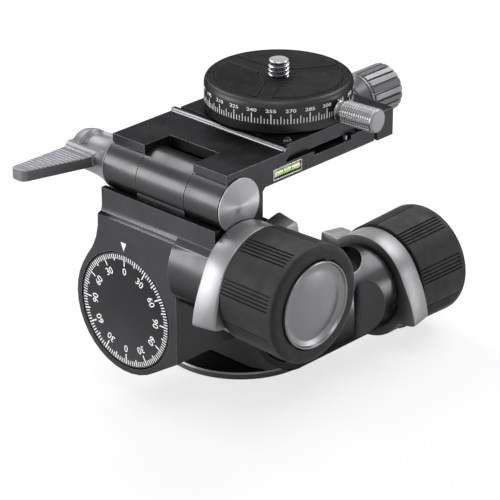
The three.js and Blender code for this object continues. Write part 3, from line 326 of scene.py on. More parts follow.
def dress(node, material, body, bevel):
    """The CAD shape of a node with softened edges, in the node's place."""
    mesh = nodes[node].data.copy()
    mesh.name = node + "_form"
    mesh.materials.clear()
    mesh.materials.append(material)
    work = bmesh.new()
    work.from_mesh(mesh)
    bmesh.ops.remove_doubles(work, verts=work.verts, dist=CAD_WELD)
    bmesh.ops.dissolve_limit(work, angle_limit=math.radians(FLAT_ANGLE), verts=work.verts,
                             edges=work.edges, delimit={"NORMAL"})
    for face in work.faces:
        face.smooth = True
        face.material_index = 0
    work.to_mesh(mesh)
    work.free()
    piece = bpy.data.objects.new(node + "_form", mesh)
    scene.collection.objects.link(piece)
    bevel_edges(piece, bevel, SHARP_ANGLE)
    weighted = piece.modifiers.new("normals", "WEIGHTED_NORMAL")
    weighted.weight = 100
    weighted.keep_sharp = True
    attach(piece, body)
    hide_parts(node)


def on_circle(radius, turn, station):
    return (radius * math.cos(turn), radius * math.sin(turn), station)


def ring_faces(rows, count, closed, capped):
    """Faces between rings of points. A closed one joins its last ring to its first; a capped one has ends."""
    faces = []
    for row in range(rows if closed else rows - 1):
        after = (row + 1) % rows
        for i in range(count):
            beside = (i + 1) % count
            faces.append((row * count + i, row * count + beside, after * count + beside, after * count + i))
    if capped:
        faces += [tuple(range(count)), tuple(range((rows - 1) * count, rows * count))]
    return faces


def curve_corner(first, corner, third, steps):
    """Points on a quadratic curve that rounds off a corner."""
    shares = [k / steps for k in range(steps + 1)]
    return [(1 - t) ** 2 * first + 2 * t * (1 - t) * corner + t * t * third for t in shares]


def soften(profile, radius, steps=4):
    """Rounds the inner corners of a profile. A third value on a point sets its own radius."""
    result = []
    last = len(profile) - 1
    for i, point in enumerate(profile):
        own = point[2] if len(point) > 2 else radius
        here = Vector(point[:2])
        if i in (0, last) or own <= 0:
            result.append(here)
            continue
        before = Vector(profile[i - 1][:2]) - here
        after = Vector(profile[i + 1][:2]) - here
        cut = min(own, before.length * 0.45, after.length * 0.45)
        result += curve_corner(here + before.normalized() * cut, here, here + after.normalized() * cut, steps)
    return [(p[0], p[1]) for p in result]


def turned_piece(name, profile, material, body, place, replaced=(), count=128, radius=0.15,
                 closed=False):
    """A profile of (radius, station) points turned round +Z, capped at both ends unless it is closed."""
    rows = soften(profile, radius)
    points = [on_circle(r, 2 * math.pi * i / count, station) for r, station in rows for i in range(count)]
    faces = ring_faces(len(rows), count, closed, not closed)
    return add_piece(name, points, faces, material, body, replaced, TURNED_ANGLE, place)


def arc(radius, start, end, steps):
    turns = [math.radians(start + (end - start) * i / steps) for i in range(steps + 1)]
    return [(radius * math.cos(turn), radius * math.sin(turn)) for turn in turns]


def text_outline(words, size, bold):
    """Flat letters centred on the origin, as (points, faces) in the x-y plane, in millimetres."""
    curve = bpy.data.curves.new("letters", "FONT")
    curve.body = words
    curve.size = size
    curve.align_x = "CENTER"
    curve.align_y = "CENTER"
    curve.offset = bold
    curve.resolution_u = 3
    holder = bpy.data.objects.new("letters", curve)
    scene.collection.objects.link(holder)
    bpy.context.view_layer.update()
    mesh = bpy.data.meshes.new_from_object(holder.evaluated_get(bpy.context.evaluated_depsgraph_get()))
    points = [tuple(v.co) for v in mesh.vertices]
    faces = [tuple(p.vertices) for p in mesh.polygons]
    bpy.data.objects.remove(holder)
    bpy.data.curves.remove(curve)
    bpy.data.meshes.remove(mesh)
    across = (min(p[0] for p in points) + max(p[0] for p in points)) / 2
    middle = (min(p[1] for p in points) + max(p[1] for p in points)) / 2
    return [(p[0] - across, p[1] - middle, 0) for p in points], faces


class Print:
    """Flat printed marks, gathered into one thin mesh."""

    def __init__(self):
        self.points = []
        self.faces = []

    def add(self, points, faces):
        start = len(self.points)
        self.points += points
        self.faces += [tuple(start + i for i in face) for face in faces]


# Base and pan housing

BASE_BORE = 7.8
BASE_RADIUS = 25
BASE_HEIGHT = 2.5
# The chamfer round the top edge carries a painted highlight, and the side below it a lighter copy of the
# black, painted light
RIM_CHAMFER_LOW = 2.05
RIM_CHAMFER_INNER = 24.6
RIM_HIGHLIGHT_MATERIAL = 1
SIDE_MATERIAL = 2

base_form = turned_piece("base_disc_form", [
    (BASE_BORE, 0), (24.4, 0, 0.3), (BASE_RADIUS, 0.6, 0.2), (BASE_RADIUS, RIM_CHAMFER_LOW, 0),
    (RIM_CHAMFER_INNER, BASE_HEIGHT, 0), (BASE_BORE, BASE_HEIGHT),
], black, "base", None, ("base_disc",), count=160, closed=True)
base_form.data.materials.append(rim_highlight_paint)
base_form.data.materials.append(base_side_lit_black)
# Faces on the top chamfer get the painted highlight, faces on the side the painted lighter black
for face in base_form.data.polygons:
    centre = face.center / MM
    if math.hypot(centre.x, centre.y) > RIM_CHAMFER_INNER:
        face.material_index = RIM_HIGHLIGHT_MATERIAL if centre.z > RIM_CHAMFER_LOW else SIDE_MATERIAL
# The skirt takes the lighter copy of the black, painted light
dress("pan_skirt", skirt_lit_black, "pan", bevel=0.2)
dress("pan_housing", black, "pan", bevel=0.25)
dress("pan_top_cap", black, "pan", bevel=0.3)
dress("pan_worm_end_cap", black, "pan", bevel=0.3)


# Tilt block and dial

DIAL_DEPTH = 1.2
DIAL_RADIUS = 18.4
TICK_OUTER = 17.8
TICK_INNER = {"long": 14.5, "medium": 15.7, "short": 16.3}
TICK_HALF = {"long": 0.2, "medium": 0.2, "short": 0.16}
DIAL_NUMBER_SIZE = 3.2
DIAL_NUMBER_RADIUS = 12.75
DIAL_NUMBER_STEP = 30
POINTER_LOW = 49.0
POINTER_HIGH = 51.7
POINTER_HALF = 1.15


def tick_kind(is_long, is_medium):
    return "long" if is_long else "medium" if is_medium else "short"


dress("tilt_block", black, "tilt_block_body", bevel=0.22)
dress("tilt_back_cover", black, "tilt_block_body", bevel=0.3)
turned_piece("tilt_dial_form", [
    (PINHOLE, 0), (17.9, 0, 0), (18.1, -0.08, 0.05), (18.3, 0.02, 0.1), (DIAL_RADIUS, 0.25, 0.1),
    (DIAL_RADIUS, DIAL_DEPTH), (PINHOLE, DIAL_DEPTH),
], dial_black, "pan", ON_DIAL, ("tilt_dial",), count=160)
dial = Print()
for degree in range(0, 360, 3):
    kind = tick_kind(degree % 30 == 0, degree % 15 == 0)
    inner = TICK_INNER[kind]
    half = TICK_HALF[kind]
    turn = Matrix.Rotation(-math.radians(degree), 4, "Z")
    corners = [(-half, inner, 0), (half, inner, 0), (half, TICK_OUTER, 0), (-half, TICK_OUTER, 0)]
    dial.add([tuple(turn @ Vector(p)) for p in corners], [(0, 1, 2, 3)])
for step, words in enumerate(("0", "30", "60", "90", "60", "30") * 2):
    letters, faces = text_outline(words, DIAL_NUMBER_SIZE, 0.02)
    turn = Matrix.Rotation(-math.radians(DIAL_NUMBER_STEP * step), 4, "Z")
    dial.add([tuple(turn @ Vector((x, y + DIAL_NUMBER_RADIUS, 0))) for x, y, _ in letters], faces)
add_piece("tilt_dial_scale", [(x, DIAL_FACE - PRINT_LIFT, TILT_AXIS_Z + z) for x, z, _ in dial.points],
          dial.faces, white, "pan")
pointer_y = BLOCK_FACE - PRINT_LIFT
add_piece("tilt_pointer", [(-POINTER_HALF, pointer_y, POINTER_HIGH), (POINTER_HALF, pointer_y, POINTER_HIGH),
                           (0, pointer_y, POINTER_LOW)], [(0, 1, 2)], white, "tilt_block_body")


# Worm drives: ribbed grips, caps and release rings

GROUPS = 8
GROOVES = 5
GROOVE_PITCH = math.radians(3.7)
GROOVE_HALF = math.radians(1.05)
GROOVE_DEPTH = 0.55
GROUP_TURN = math.radians(-17)
PLAIN_STEPS = 9
GRIP_BORE = 15.3
GRIP_BACK_RADIUS = 17.3
GRIP_FRONT_RADIUS = 17.8
GRIP_START = 8.5
GRIP_SIDE_START = 8.75
GRIP_SIDE_END = 27.2
GRIP_RECESS = 13.5
GRIP_FLOOR = 27.8


def grip_angles():
    """The turns of a grip's lengthwise lines, each with how far it lies down in a groove."""
    angles = []
    reach = (GROOVES - 1) / 2 * GROOVE_PITCH
    for group in range(GROUPS):
        middle = 2 * math.pi * group / GROUPS + GROUP_TURN
        for k in range(GROOVES):
            centre = middle + (k - (GROOVES - 1) / 2) * GROOVE_PITCH
            angles += [(centre - GROOVE_HALF, 0), (centre - 0.45 * GROOVE_HALF, 1),
                       (centre + 0.45 * GROOVE_HALF, 1), (centre + GROOVE_HALF, 0)]
        start = middle + reach + GROOVE_HALF
        end = middle + 2 * math.pi / GROUPS - reach - GROOVE_HALF
        angles += [(start + (end - start) * i / PLAIN_STEPS, 0) for i in range(1, PLAIN_STEPS)]
    return angles


def make_grip(name, place, body, node):
    """A rubber sleeve with groups of grooves along its side and a rounded rim round its recess."""
    rim = soften([
        (GRIP_FRONT_RADIUS, GRIP_SIDE_END), (GRIP_FRONT_RADIUS, 28.4, 0.8), (17.2, 29.0, 0.7),
        (16.3, 29.3, 0.5), (13.7, 29.3, 0.2), (GRIP_RECESS, 29.1, 0.1), (GRIP_RECESS, GRIP_FLOOR),
    ], radius=0.1, steps=5)
    rows = [(GRIP_BORE, GRIP_FLOOR, 0), (GRIP_BORE, GRIP_START, 0), (GRIP_BACK_RADIUS - 0.35, GRIP_START, 1),
            (GRIP_BACK_RADIUS, GRIP_SIDE_START, 1)]
    slope = (GRIP_FRONT_RADIUS - GRIP_BACK_RADIUS) / (GRIP_SIDE_END - GRIP_SIDE_START)
    rows += [(GRIP_BACK_RADIUS + slope * (station - GRIP_SIDE_START), station, depth)
             for station, depth in ((17.0, 1), (26.2, 1), (26.9, 0))]
    rows += [(radius, station, 0) for radius, station in rim]
    angles = grip_angles()
    points = [on_circle(radius - GROOVE_DEPTH * groove * depth, turn, station)
              for radius, station, depth in rows for turn, groove in angles]
    faces = ring_faces(len(rows), len(angles), True, False)
    add_piece(name, points, faces, rubber, body, (node,), 30, place @ ALONG_X)


# Both wing tips and the rise and fall beside them, in degrees round the ring
WING_TIPS = (41.0, 205.0)
WING_TAPER = 1.3
WING_RISE = 45
WING_FALL = 11
WING_CURVE = 1.75
WING_SMOOTHING = 3
RING_BORE = 9.3
RING_ROOT = 16.7
RING_TIP = 22.3
RING_BACK = 0.3
RING_FRONT = 8.2
RING_COUNT = 360
PAN_RING_TURN = -5.5


def wing_share(degrees):
    """How far the ring's outline has grown from the round: one at the tip of a wing."""
    share = 0
    for tip in WING_TIPS:
        before = (tip - degrees) % 360
        if before <= WING_RISE:
            share = (1 - before / WING_RISE) ** WING_CURVE
        if 360 - before < WING_FALL:
            share = 1 - (360 - before) / WING_FALL
    return share


def make_ring(name, place, body, node, turn_degrees):
    """A release ring: a round bore in an outline that swells to two finger wings."""
    shares = [wing_share(i * 360 / RING_COUNT) for i in range(RING_COUNT)]
    for _ in range(WING_SMOOTHING):
        shares = [(shares[i - 1] + shares[i] + shares[(i + 1) % RING_COUNT]) / 3 for i in range(RING_COUNT)]
    bore = [(RING_BORE, 0.5), (9.6, RING_BACK)]
    outside = [(-0.4, RING_BACK), (-0.1, 0.38), (0, 0.7), (0, 7.6), (-0.08, 7.8), (-0.5, 8.15),
               (-0.7, RING_FRONT)]
    front = [(9.6, RING_FRONT), (RING_BORE, 8.0)]
    turns = [math.radians(turn_degrees) + 2 * math.pi * i / RING_COUNT for i in range(RING_COUNT)]
    points = [on_circle(radius, turn, station) for radius, station in bore for turn in turns]
    for offset, station in outside:
        rise = RING_TIP - RING_ROOT - WING_TAPER * (station - RING_BACK) / (RING_FRONT - RING_BACK)
        points += [on_circle(RING_ROOT + rise * share + offset, turn, station)
                   for share, turn in zip(shares, turns)]
    points += [on_circle(radius, turn, station) for radius, station in front for turn in turns]
    faces = ring_faces(len(bore + outside + front), RING_COUNT, True, False)
    add_piece(name, points, faces, silver, body, (node,), 40, place @ ALONG_X)


CAP_BACK = 27.3
CAP_RADIUS = 13.1
DOME_TOP = 30.18
DOME_DROP = 1.42
DOME_STEPS = 10
DOME_STEP = 1.06


def make_cap(name, place, body, node):
    """A knob's end cap: a raised rim, a hollow inside it and a low dome."""
    rows = [(PINHOLE, CAP_BACK), (CAP_RADIUS, CAP_BACK, 0), (CAP_RADIUS, 29.8, 0.15), (12.9, 30.1, 0.12),
            (12.6, 30.1, 0.1), (12.3, 29.3, 0.1), (10.9, 28.8, 0.3)]
    rows += [(DOME_STEP * k, DOME_TOP - DOME_DROP * (k / DOME_STEPS) ** 2, 0)
             for k in range(DOME_STEPS, 0, -1)]
    rows.append((PINHOLE, DOME_TOP))
    turned_piece(name, rows, cap_satin, body, place @ ALONG_X, (node,), count=144,
                 radius=0.1)


for drive, place, ring_turn in (("tilt", TILT_DRIVE, 0), ("pan", PAN_DRIVE, PAN_RING_TURN)):
    make_grip(f"{drive}_grip_ribbed", place, f"{drive}_knob", f"{drive}_knob_grip")
    make_ring(f"{drive}_ring_winged", place, f"{drive}_ring", f"{drive}_release_ring", ring_turn)
    make_cap(f"{drive}_cap_turned", place, f"{drive}_knob", f"{drive}_knob_cap")


# Flip hinge, platform and level

HINGE_CAP_PLACE = Matrix.Translation((35.85, MIDDLE_Y, FLIP_Z)) @ ALONG_X
LIP_PLACE = Matrix.Translation((0, -18.15, 81.45)) @ ALONG_X
LIP_START = -10.55
LIP_END = 35.45
LIP_RADIUS = 0.95
VIAL_RADIUS = 1.35
VIAL_HALF = 5.5
MARK_INNER = 0.9
MARK_OUTER = 1.38
LEVEL_PLACE = Matrix.Translation((34.25, -17.5, 75.45)) @ ALONG_Y
BUBBLE_PLACE = Matrix.Translation((34.95, -17.5, 75.75)) @ ALONG_Y


def level_mark(name, middle, half_inner, half_outer, material):
    """A band round the level's glass."""
    turned_piece(name, [(MARK_INNER, middle - half_inner), (MARK_OUTER, middle - half_outer),
                        (MARK_OUTER, middle + half_outer), (MARK_INNER, middle + half_inner)],
                 material, "platform_body", LEVEL_PLACE, count=48, radius=0, closed=True)


turned_piece("hinge_cap_turned", [
    (PINHOLE, 0), (8.4, 0), (8.4, 0.3, 0.1), (8.2, 0.45, 0.05), (PINHOLE, 0.45),
], hinge_turned, "tilt_block_body", HINGE_CAP_PLACE, ("hinge_end_cap",), count=144,
    radius=0.05)
dress("platform", black, "platform_body", bevel=0.22)
dress("level_frame", bright, "platform_body", bevel=0.08)
turned_piece("platform_lip_bead", [
    (PINHOLE, LIP_START), (0.7, LIP_START + 0.05, 0.3), (LIP_RADIUS, LIP_START + 0.45, 0.2),
    (LIP_RADIUS, LIP_END - 0.45, 0.2), (0.7, LIP_END - 0.05, 0.3), (PINHOLE, LIP_END),
], lip_metal, "platform_body", LIP_PLACE, count=40, radius=0.1)
turned_piece("level_vial_glass", [
    (PINHOLE, -VIAL_HALF), (1.2, -VIAL_HALF, 0.3), (VIAL_RADIUS, 0.3 - VIAL_HALF, 0.1),
    (VIAL_RADIUS, VIAL_HALF - 0.3, 0.1), (1.2, VIAL_HALF, 0.3), (PINHOLE, VIAL_HALF),
], fluid, "platform_body", LEVEL_PLACE, ("level_vial",), count=48, radius=0.1)
for index, middle in enumerate((-1.6, 1.6)):
    level_mark(f"level_line_{index + 1}", middle, 0.11, 0.11, mark_black)
for index, middle in enumerate((-4.9, 4.9)):
    level_mark(f"level_end_{index + 1}", middle, 0.55, 0.5, bubble_white)
turned_piece("level_bubble", [
    (PINHOLE, -1.25), (0.5, -1.1, 0.3), (0.72, 0, 0.6), (0.5, 1.1, 0.3), (PINHOLE, 1.25),
], bubble_white, "platform_body", BUBBLE_PLACE, count=32, radius=0.2)


# Flip lever: waisted hub with a scoop, and a tapered blade with fine cross lines

HUB_COUNT = 144
HUB_BORE = 2.1
HUB_STEP = 0.25
HUB_PLACE = Matrix.Translation((-11.1, MIDDLE_Y, FLIP_Z)) @ ALONG_X
SCOOP_DEPTH = 1.3
SCOOP_START = 50
SCOOP_END = 150
SCOOP_RAMP = 6
SCOOP_NEAR = -1.2
SCOOP_NEAR_RAMP = 1.2
SCOOP_FAR = -13.4
SCOOP_FAR_RAMP = 1.4
SCOOP_LEAST_RADIUS = 6
BLADE_TOP = 73.0
BLADE_LOW = 69.5
BLADE_TIP = -67.3
BLADE_ROOT = -46.4
BLADE_OUTER = -28.95
BLADE_INNER_ROOT = -17.3
BLADE_INNER_TIP = -23.4
BLADE_CORNER = 0.4
TIP_REACH = 1.5
TIP_PULL = 1.3
ROOT_REACH = 1.6
ROOT_FILLET = 1.5
FINE_START = -46.6
FINE_END = -65.8
LINES_START = -47.2
LINES_END = -64.2
LINE_PITCH = 1.32
LINE_DEPTH = 0.13
LINE_SHARE = 0.3
LINE_STEP = 0.066


def within(value):
    return min(1, max(0, value))


def hub_scoop(degrees, station, radius):
    """How deep the smooth hollow on top of the hub is at a place on its side."""
    if radius <= SCOOP_LEAST_RADIUS:
        return 0
    across = within((degrees - SCOOP_START) / SCOOP_RAMP) * within((SCOOP_END - degrees) / SCOOP_RAMP)
    along = within((SCOOP_NEAR - station) / SCOOP_NEAR_RAMP) * within((station - SCOOP_FAR) / SCOOP_FAR_RAMP)
    share = min(across, along)
    return SCOOP_DEPTH * share * share * (3 - 2 * share)


def make_lever_hub():
    profile = soften([
        (8.6, 0), (8.5, -0.5, 0.2), (7.6, -2.7, 1.4), (6.85, -6.0, 1.8), (6.5, -10, 2), (6.5, -14, 2),
        (5.6, -17.2, 1.2), (4.4, -18, 0.3), (3.95, -18, 0.1), (3.95, -15.3, 0), (HUB_BORE, -15.3),
    ], radius=0.1, steps=6)
    rows = [profile[0]]
    for radius, station in profile[1:]:
        before = rows[-1]
        steps = max(1, int(abs(station - before[1]) / HUB_STEP))
        rows += [(before[0] + (radius - before[0]) * k / steps, before[1] + (station - before[1]) * k / steps)
                 for k in range(1, steps + 1)]
    rows.append((HUB_BORE, 0))
    points = []
    for radius, station in rows:
        for i in range(HUB_COUNT):
            degrees = 360 * i / HUB_COUNT
            scooped = radius - hub_scoop(degrees, station, radius)
            points.append(on_circle(scooped, math.radians(degrees), station))
    add_piece("flip_lever_hub", points, ring_faces(len(rows), HUB_COUNT, True, False), lever_silver, "lever",
              ("flip_lever",), 50, HUB_PLACE)


def line_depth(y):
    """Depth of the fine cross lines on the blade."""
    if not LINES_END < y < LINES_START:
        return 0
    return LINE_DEPTH if ((y - LINES_START) / LINE_PITCH) % 1 < LINE_SHARE else 0


def blade_stations():
    """Places along the blade: close together over the cross lines and round both ends."""
    quarter = [1 - math.sin(math.radians(9 * k)) for k in range(11)]
    stations = [-40.0, -42.0, -43.5]
    stations += [BLADE_ROOT + ROOT_REACH * share for share in quarter]
    y = FINE_START
    while y > FINE_END:
        stations.append(y)
        y -= LINE_STEP
    stations += [BLADE_TIP + TIP_REACH * share for share in quarter]
    return sorted(set(round(y, 4) for y in stations), reverse=True)


def blade_section(y):
    """One ring of points round the blade, with rounded corners."""
    ratio = within((y - BLADE_ROOT) / (BLADE_TIP - BLADE_ROOT))
    end = within((BLADE_TIP + TIP_REACH - y) / TIP_REACH)
    pull = TIP_PULL * (1 - math.sqrt(max(0, 1 - end * end)))
    lift = within((y - BLADE_ROOT) / ROOT_REACH)
    fillet = ROOT_FILLET * (1 - math.sqrt(1 - lift * lift))
    inner = BLADE_INNER_ROOT + (BLADE_INNER_TIP - BLADE_INNER_ROOT) * ratio - pull + fillet
    outer = BLADE_OUTER + pull
    high = BLADE_TOP - line_depth(y) + fillet
    r = BLADE_CORNER
    section = []
    for x, z, side, up in ((inner, BLADE_LOW, -1, 1), (inner, high, -1, -1), (outer, high, 1, -1),
                           (outer, BLADE_LOW, 1, 1)):
        order = [(0, r), (0.12 * r, 0.5 * r), (0.5 * r, 0.12 * r), (r, 0)]
        if side * up < 0:
            order.reverse()
        section += [(x + side * dx, y, z + up * dz) for dx, dz in order]
    return section


def make_lever_blade():
    sections = [blade_section(y) for y in blade_stations()]
    points = [point for section in sections for point in section]
    faces = ring_faces(len(sections), len(sections[0]), False, True)
    add_piece("flip_lever_blade", points, faces, lever_silver, "lever", angle=25)


make_lever_hub()
make_lever_blade()


# Clamp jaw and its ribbed knob

CLAMP = Matrix.Translation((DRUM_X, 0, CLAMP_Z)) @ ALONG_Y
CLAMP_BORE = 2.3
CLAMP_RIBS = 20
CLAMP_RADIUS = 7.7
RIB_DEPTH = 0.7
# One rib and the groove beside it: share of the pitch, and how far down
RIB_SHAPE = [(0, 0), (0.62, 0), (0.68, 0.8), (0.74, 1.0), (0.88, 1.0), (0.94, 0.8)]


def ribbed_points(rows, count, shape, depth):
    """Rings of points with one groove shape repeated round them. A row's third value scales its depth."""
    return [on_circle(radius - depth * cut * scale, 2 * math.pi * (rib + share) / count, station)
            for radius, station, scale in rows for rib in range(count) for share, cut in shape]


def make_clamp_knob():
    turned_piece("clamp_knob_neck", [
        (CLAMP_BORE, 29.6), (4.4, 29.6, 0.2), (4.4, 33.6, 0.5), (4.9, 35.2, 0.3), (5.2, 35.3, 0.1),
        (7.1, 38.3, 0.2), (7.5, 38.6, 0.15), (7.5, 39.4, 0.1), (6.9, 39.6), (6.9, 40.2), (CLAMP_BORE, 40.2),
    ], knob_metal, "jaw_knob", CLAMP, ("clamp_knob",), count=128, radius=0.1, closed=True)
    rows = [(6.9, 39.7, 0), (7.35, 39.7, 0), (CLAMP_RADIUS, 40.05, 1), (CLAMP_RADIUS, 52.0, 1),
            (7.3, 52.5, 0.6), (6.7, 52.8, 0), (5.8, 52.8, 0), (5.6, 52.6, 0), (1.6, 52.55, 0), (1.3, 52.3, 0),
            (PINHOLE, 52.3, 0)]
    points = ribbed_points(rows, CLAMP_RIBS, RIB_SHAPE, RIB_DEPTH)
    faces = ring_faces(len(rows), CLAMP_RIBS * len(RIB_SHAPE), False, True)
    add_piece("clamp_knob_ribs", points, faces, knob_metal, "jaw_knob", angle=30,
              place=CLAMP)


dress("clamp_jaw", black, "jaw", bevel=0.25)
make_clamp_knob()


# Dovetail plate, drum and scale

DRUM_BORE = 7.7
DRUM_RADIUS = 22.4
DRUM_INNER = 18.5
DRUM_LOW = 82.5
# The outer underside clears the platform's lip
DRUM_OUTER_LOW = 82.75
SCALE_RADIUS = DRUM_RADIUS + PRINT_LIFT
# Where zero is, in degrees round the drum
SCALE_START = -308
SCALE_LOW = 86.1
SCALE_TOP = {"long": 89.15, "medium": 88.5, "short": 87.7}
SCALE_HALF = {"long": 0.15, "medium": 0.125, "short": 0.125}
SCALE_TICKS = 144
SCALE_STEP = 2.5
SCALE_NUMBER_SIZE = 1.5
SCALE_NUMBER_Z = 90.15
SCALE_NUMBER_STRETCH = 1.45


def wrap(points, degrees, height):
    """Points drawn flat, x along the drum and y up, laid round its side."""
    result = []
    for x, y, _ in points:
        across, deep, up = on_circle(SCALE_RADIUS, math.radians(degrees) + x / SCALE_RADIUS, height + y)
        result.append((DRUM_X + across, DRUM_Y + deep, up))
    return result


dress("dovetail_plate", black, "plate", bevel=0.2)
turned_piece("plate_screw_domed", [
    (PINHOLE, 80.3), (1.5, 80.3), (1.5, 82.7, 0.1), (1.2, 83.15, 0.3), (0.75, 83.35, 0.2), (0.7, 83.0, 0.02),
    (PINHOLE, 83.0),
], black, "plate", Matrix.Translation((32, -13.7, 0)), ("plate_stop_screw",), count=48, radius=0.1)
turned_piece("pan_drum_form", [
    (DRUM_BORE, 84.1), (10.2, 84.1, 0), (10.2, DRUM_LOW, 0), (19.5, DRUM_LOW, 0), (19.75, DRUM_OUTER_LOW, 0),
    (21.9, DRUM_OUTER_LOW, 0.2), (DRUM_RADIUS, 83.2, 0.3), (DRUM_RADIUS, 91.2, 0.3), (22.2, 92.0, 0.4),
    (21.8, 92.6, 0.3), (21.3, 92.95, 0.1), (21.25, 92.85, 0.03), (21.25, 90.6), (DRUM_INNER, 90.6),
    (DRUM_INNER, 85.4), (DRUM_BORE, 85.4),
], disc_black, "plate", DRUM, ("pan_drum",), count=192, closed=True)
drum_print = Print()
for tick in range(SCALE_TICKS):
    value = tick * SCALE_STEP
    kind = tick_kind(tick % 6 == 0, tick % 3 == 0)
    half = SCALE_HALF[kind]
    rise = SCALE_TOP[kind] - SCALE_LOW
    mark = [(-half, 0, 0), (half, 0, 0), (half, rise, 0), (-half, rise, 0)]
    drum_print.add(wrap(mark, SCALE_START + value, SCALE_LOW), [(0, 1, 2, 3)])
    if kind == "long":
        letters, faces = text_outline(str(int(value)), SCALE_NUMBER_SIZE, 0.025)
        wide = [(SCALE_NUMBER_STRETCH * x, y, 0) for x, y, _ in letters]
        drum_print.add(wrap(wide, SCALE_START + value, SCALE_NUMBER_Z), faces)
add_piece("pan_drum_scale", drum_print.points, drum_print.faces, white, "plate", angle=40)


# Turning disc with its pads

PAD_TOP = 93.1
PAD_LOW = 92.2
PAD_OUTER = 19.2
PAD_INNER = 6.6
PAD_GAP_HALF = 2.5
PAD_INSET = 0.12
PAD_OUTER_STEPS = 40
PAD_INNER_STEPS = 12
PAD_OUTER_ROUND = 1.3
PAD_INNER_ROUND = 0.6
PAD_BEVEL = 0.12
PAD_ANGLE = 35
RIB_MARGIN = 0.75
RIB_SPAN = 24
RIB_LIFT = 0.07
RIB_SUNK = 0.02


def pad_outline(turn, grow):
    """A third of a ring between two spokes, with its four corners rounded."""
    half = PAD_GAP_HALF - grow
    outer, inner = PAD_OUTER + grow, PAD_INNER - grow
    outer_half = 60 - math.degrees(math.asin(half / outer))
    inner_half = 60 - math.degrees(math.asin(half / inner))
    loop = arc(outer, turn - outer_half, turn + outer_half, PAD_OUTER_STEPS)
    loop += arc(inner, turn + inner_half, turn - inner_half, PAD_INNER_STEPS)
    outer_corners = (0, PAD_OUTER_STEPS)
    inner_corners = (PAD_OUTER_STEPS + 1, PAD_OUTER_STEPS + PAD_INNER_STEPS + 1)
    result = []
    for i, point in enumerate(loop):
        if i not in outer_corners + inner_corners:
            result.append(point)
            continue
        here = Vector(point)
        size = PAD_OUTER_ROUND if i in outer_corners else PAD_INNER_ROUND
        ends = []
        for side in (Vector(loop[i - 1]) - here, Vector(loop[(i + 1) % len(loop)]) - here):
            room = 0.48 if side.length > 2 else 0.9
            ends.append(here + side.normalized() * min(size, room * side.length))
        result += [(p[0], p[1]) for p in curve_corner(ends[0], here, ends[1], 4)]
    return result


def make_pad(name, outline, node):
    """A flat rubber pad with softened edges."""
    count = len(outline)
    points = [(x, y, PAD_LOW) for x, y in outline] + [(x, y, PAD_TOP) for x, y in outline]
    faces = [tuple(range(count))[::-1], tuple(range(count, 2 * count))]
    faces += [(i, (i + 1) % count, count + (i + 1) % count, count + i) for i in range(count)]
    piece = add_piece(name, points, faces, pad_rubber, "disc", (node,), place=DRUM)
    bevel_edges(piece, PAD_BEVEL, PAD_ANGLE).harden_normals = True


def crossings(outline, along, normal, offset):
    """Where a line, at an offset along its normal, crosses an outline: distances along the line."""
    found = []
    for i, point in enumerate(outline):
        here = Vector(point)
        there = Vector(outline[(i + 1) % len(outline)])
        a = here.dot(normal) - offset
        b = there.dot(normal) - offset
        if (a < 0) != (b < 0):
            found.append((here + (there - here) * (a / (a - b))).dot(along))
    return sorted(found)


def rib_pad(name, turn, degrees, pitch, half):
    """Low raised ribs across a pad, cut off just inside its edge."""
    direction = math.radians(degrees)
    along = Vector((math.cos(direction), math.sin(direction)))
    normal = Vector((-along.y, along.x))
    outline = pad_outline(turn, -RIB_MARGIN)
    section = [(-half, -RIB_SUNK), (-0.6 * half, RIB_LIFT), (0.6 * half, RIB_LIFT), (half, -RIB_SUNK)]
    points = []
    faces = []
    rows = int(RIB_SPAN / pitch)
    for row in range(-rows, rows + 1):
        ends = crossings(outline, along, normal, row * pitch)
        for first, last in zip(ends[::2], ends[1::2]):
            start = len(points)
            for side, height in section:
                for end in (first, last):
                    spot = along * end + normal * (row * pitch + side)
                    points.append((spot.x, spot.y, PAD_TOP + height))
            faces += [(start + 2 * k, start + 2 * k + 1, start + (2 * k + 3) % 8, start + (2 * k + 2) % 8)
                      for k in range(4)]
            faces += [(start, start + 2, start + 4, start + 6), (start + 1, start + 3, start + 5, start + 7)]
    add_piece(name, points, faces, rib_rubber, "disc", angle=30, place=DRUM)


dress("disc_plate", disc_black, "disc", bevel=0.1)
for side, turn in (("left", 240), ("right", 0), ("back", 120)):
    make_pad(f"pad_{side}_form", pad_outline(turn, PAD_INSET), f"grip_pad_{side}")
rib_pad("pad_right_ribs", turn=0, degrees=107, pitch=1.2, half=0.3)
rib_pad("pad_left_ribs_one", turn=240, degrees=70, pitch=0.62, half=0.14)
rib_pad("pad_left_ribs_two", turn=240, degrees=160, pitch=0.62, half=0.14)


# Camera screw: a core with a flat top and a broad hidden head, and one wound ridge

THREAD_CREST = 3.17
THREAD_ROOT = 2.5
THREAD_BED = THREAD_ROOT - 0.1
THREAD_PITCH = 1.27
THREAD_LOW = 88.6
THREAD_TURNS = 6.75
THREAD_COUNT = 96
THREAD_RUN_OUT = 20
STUD_TOP = 97.9


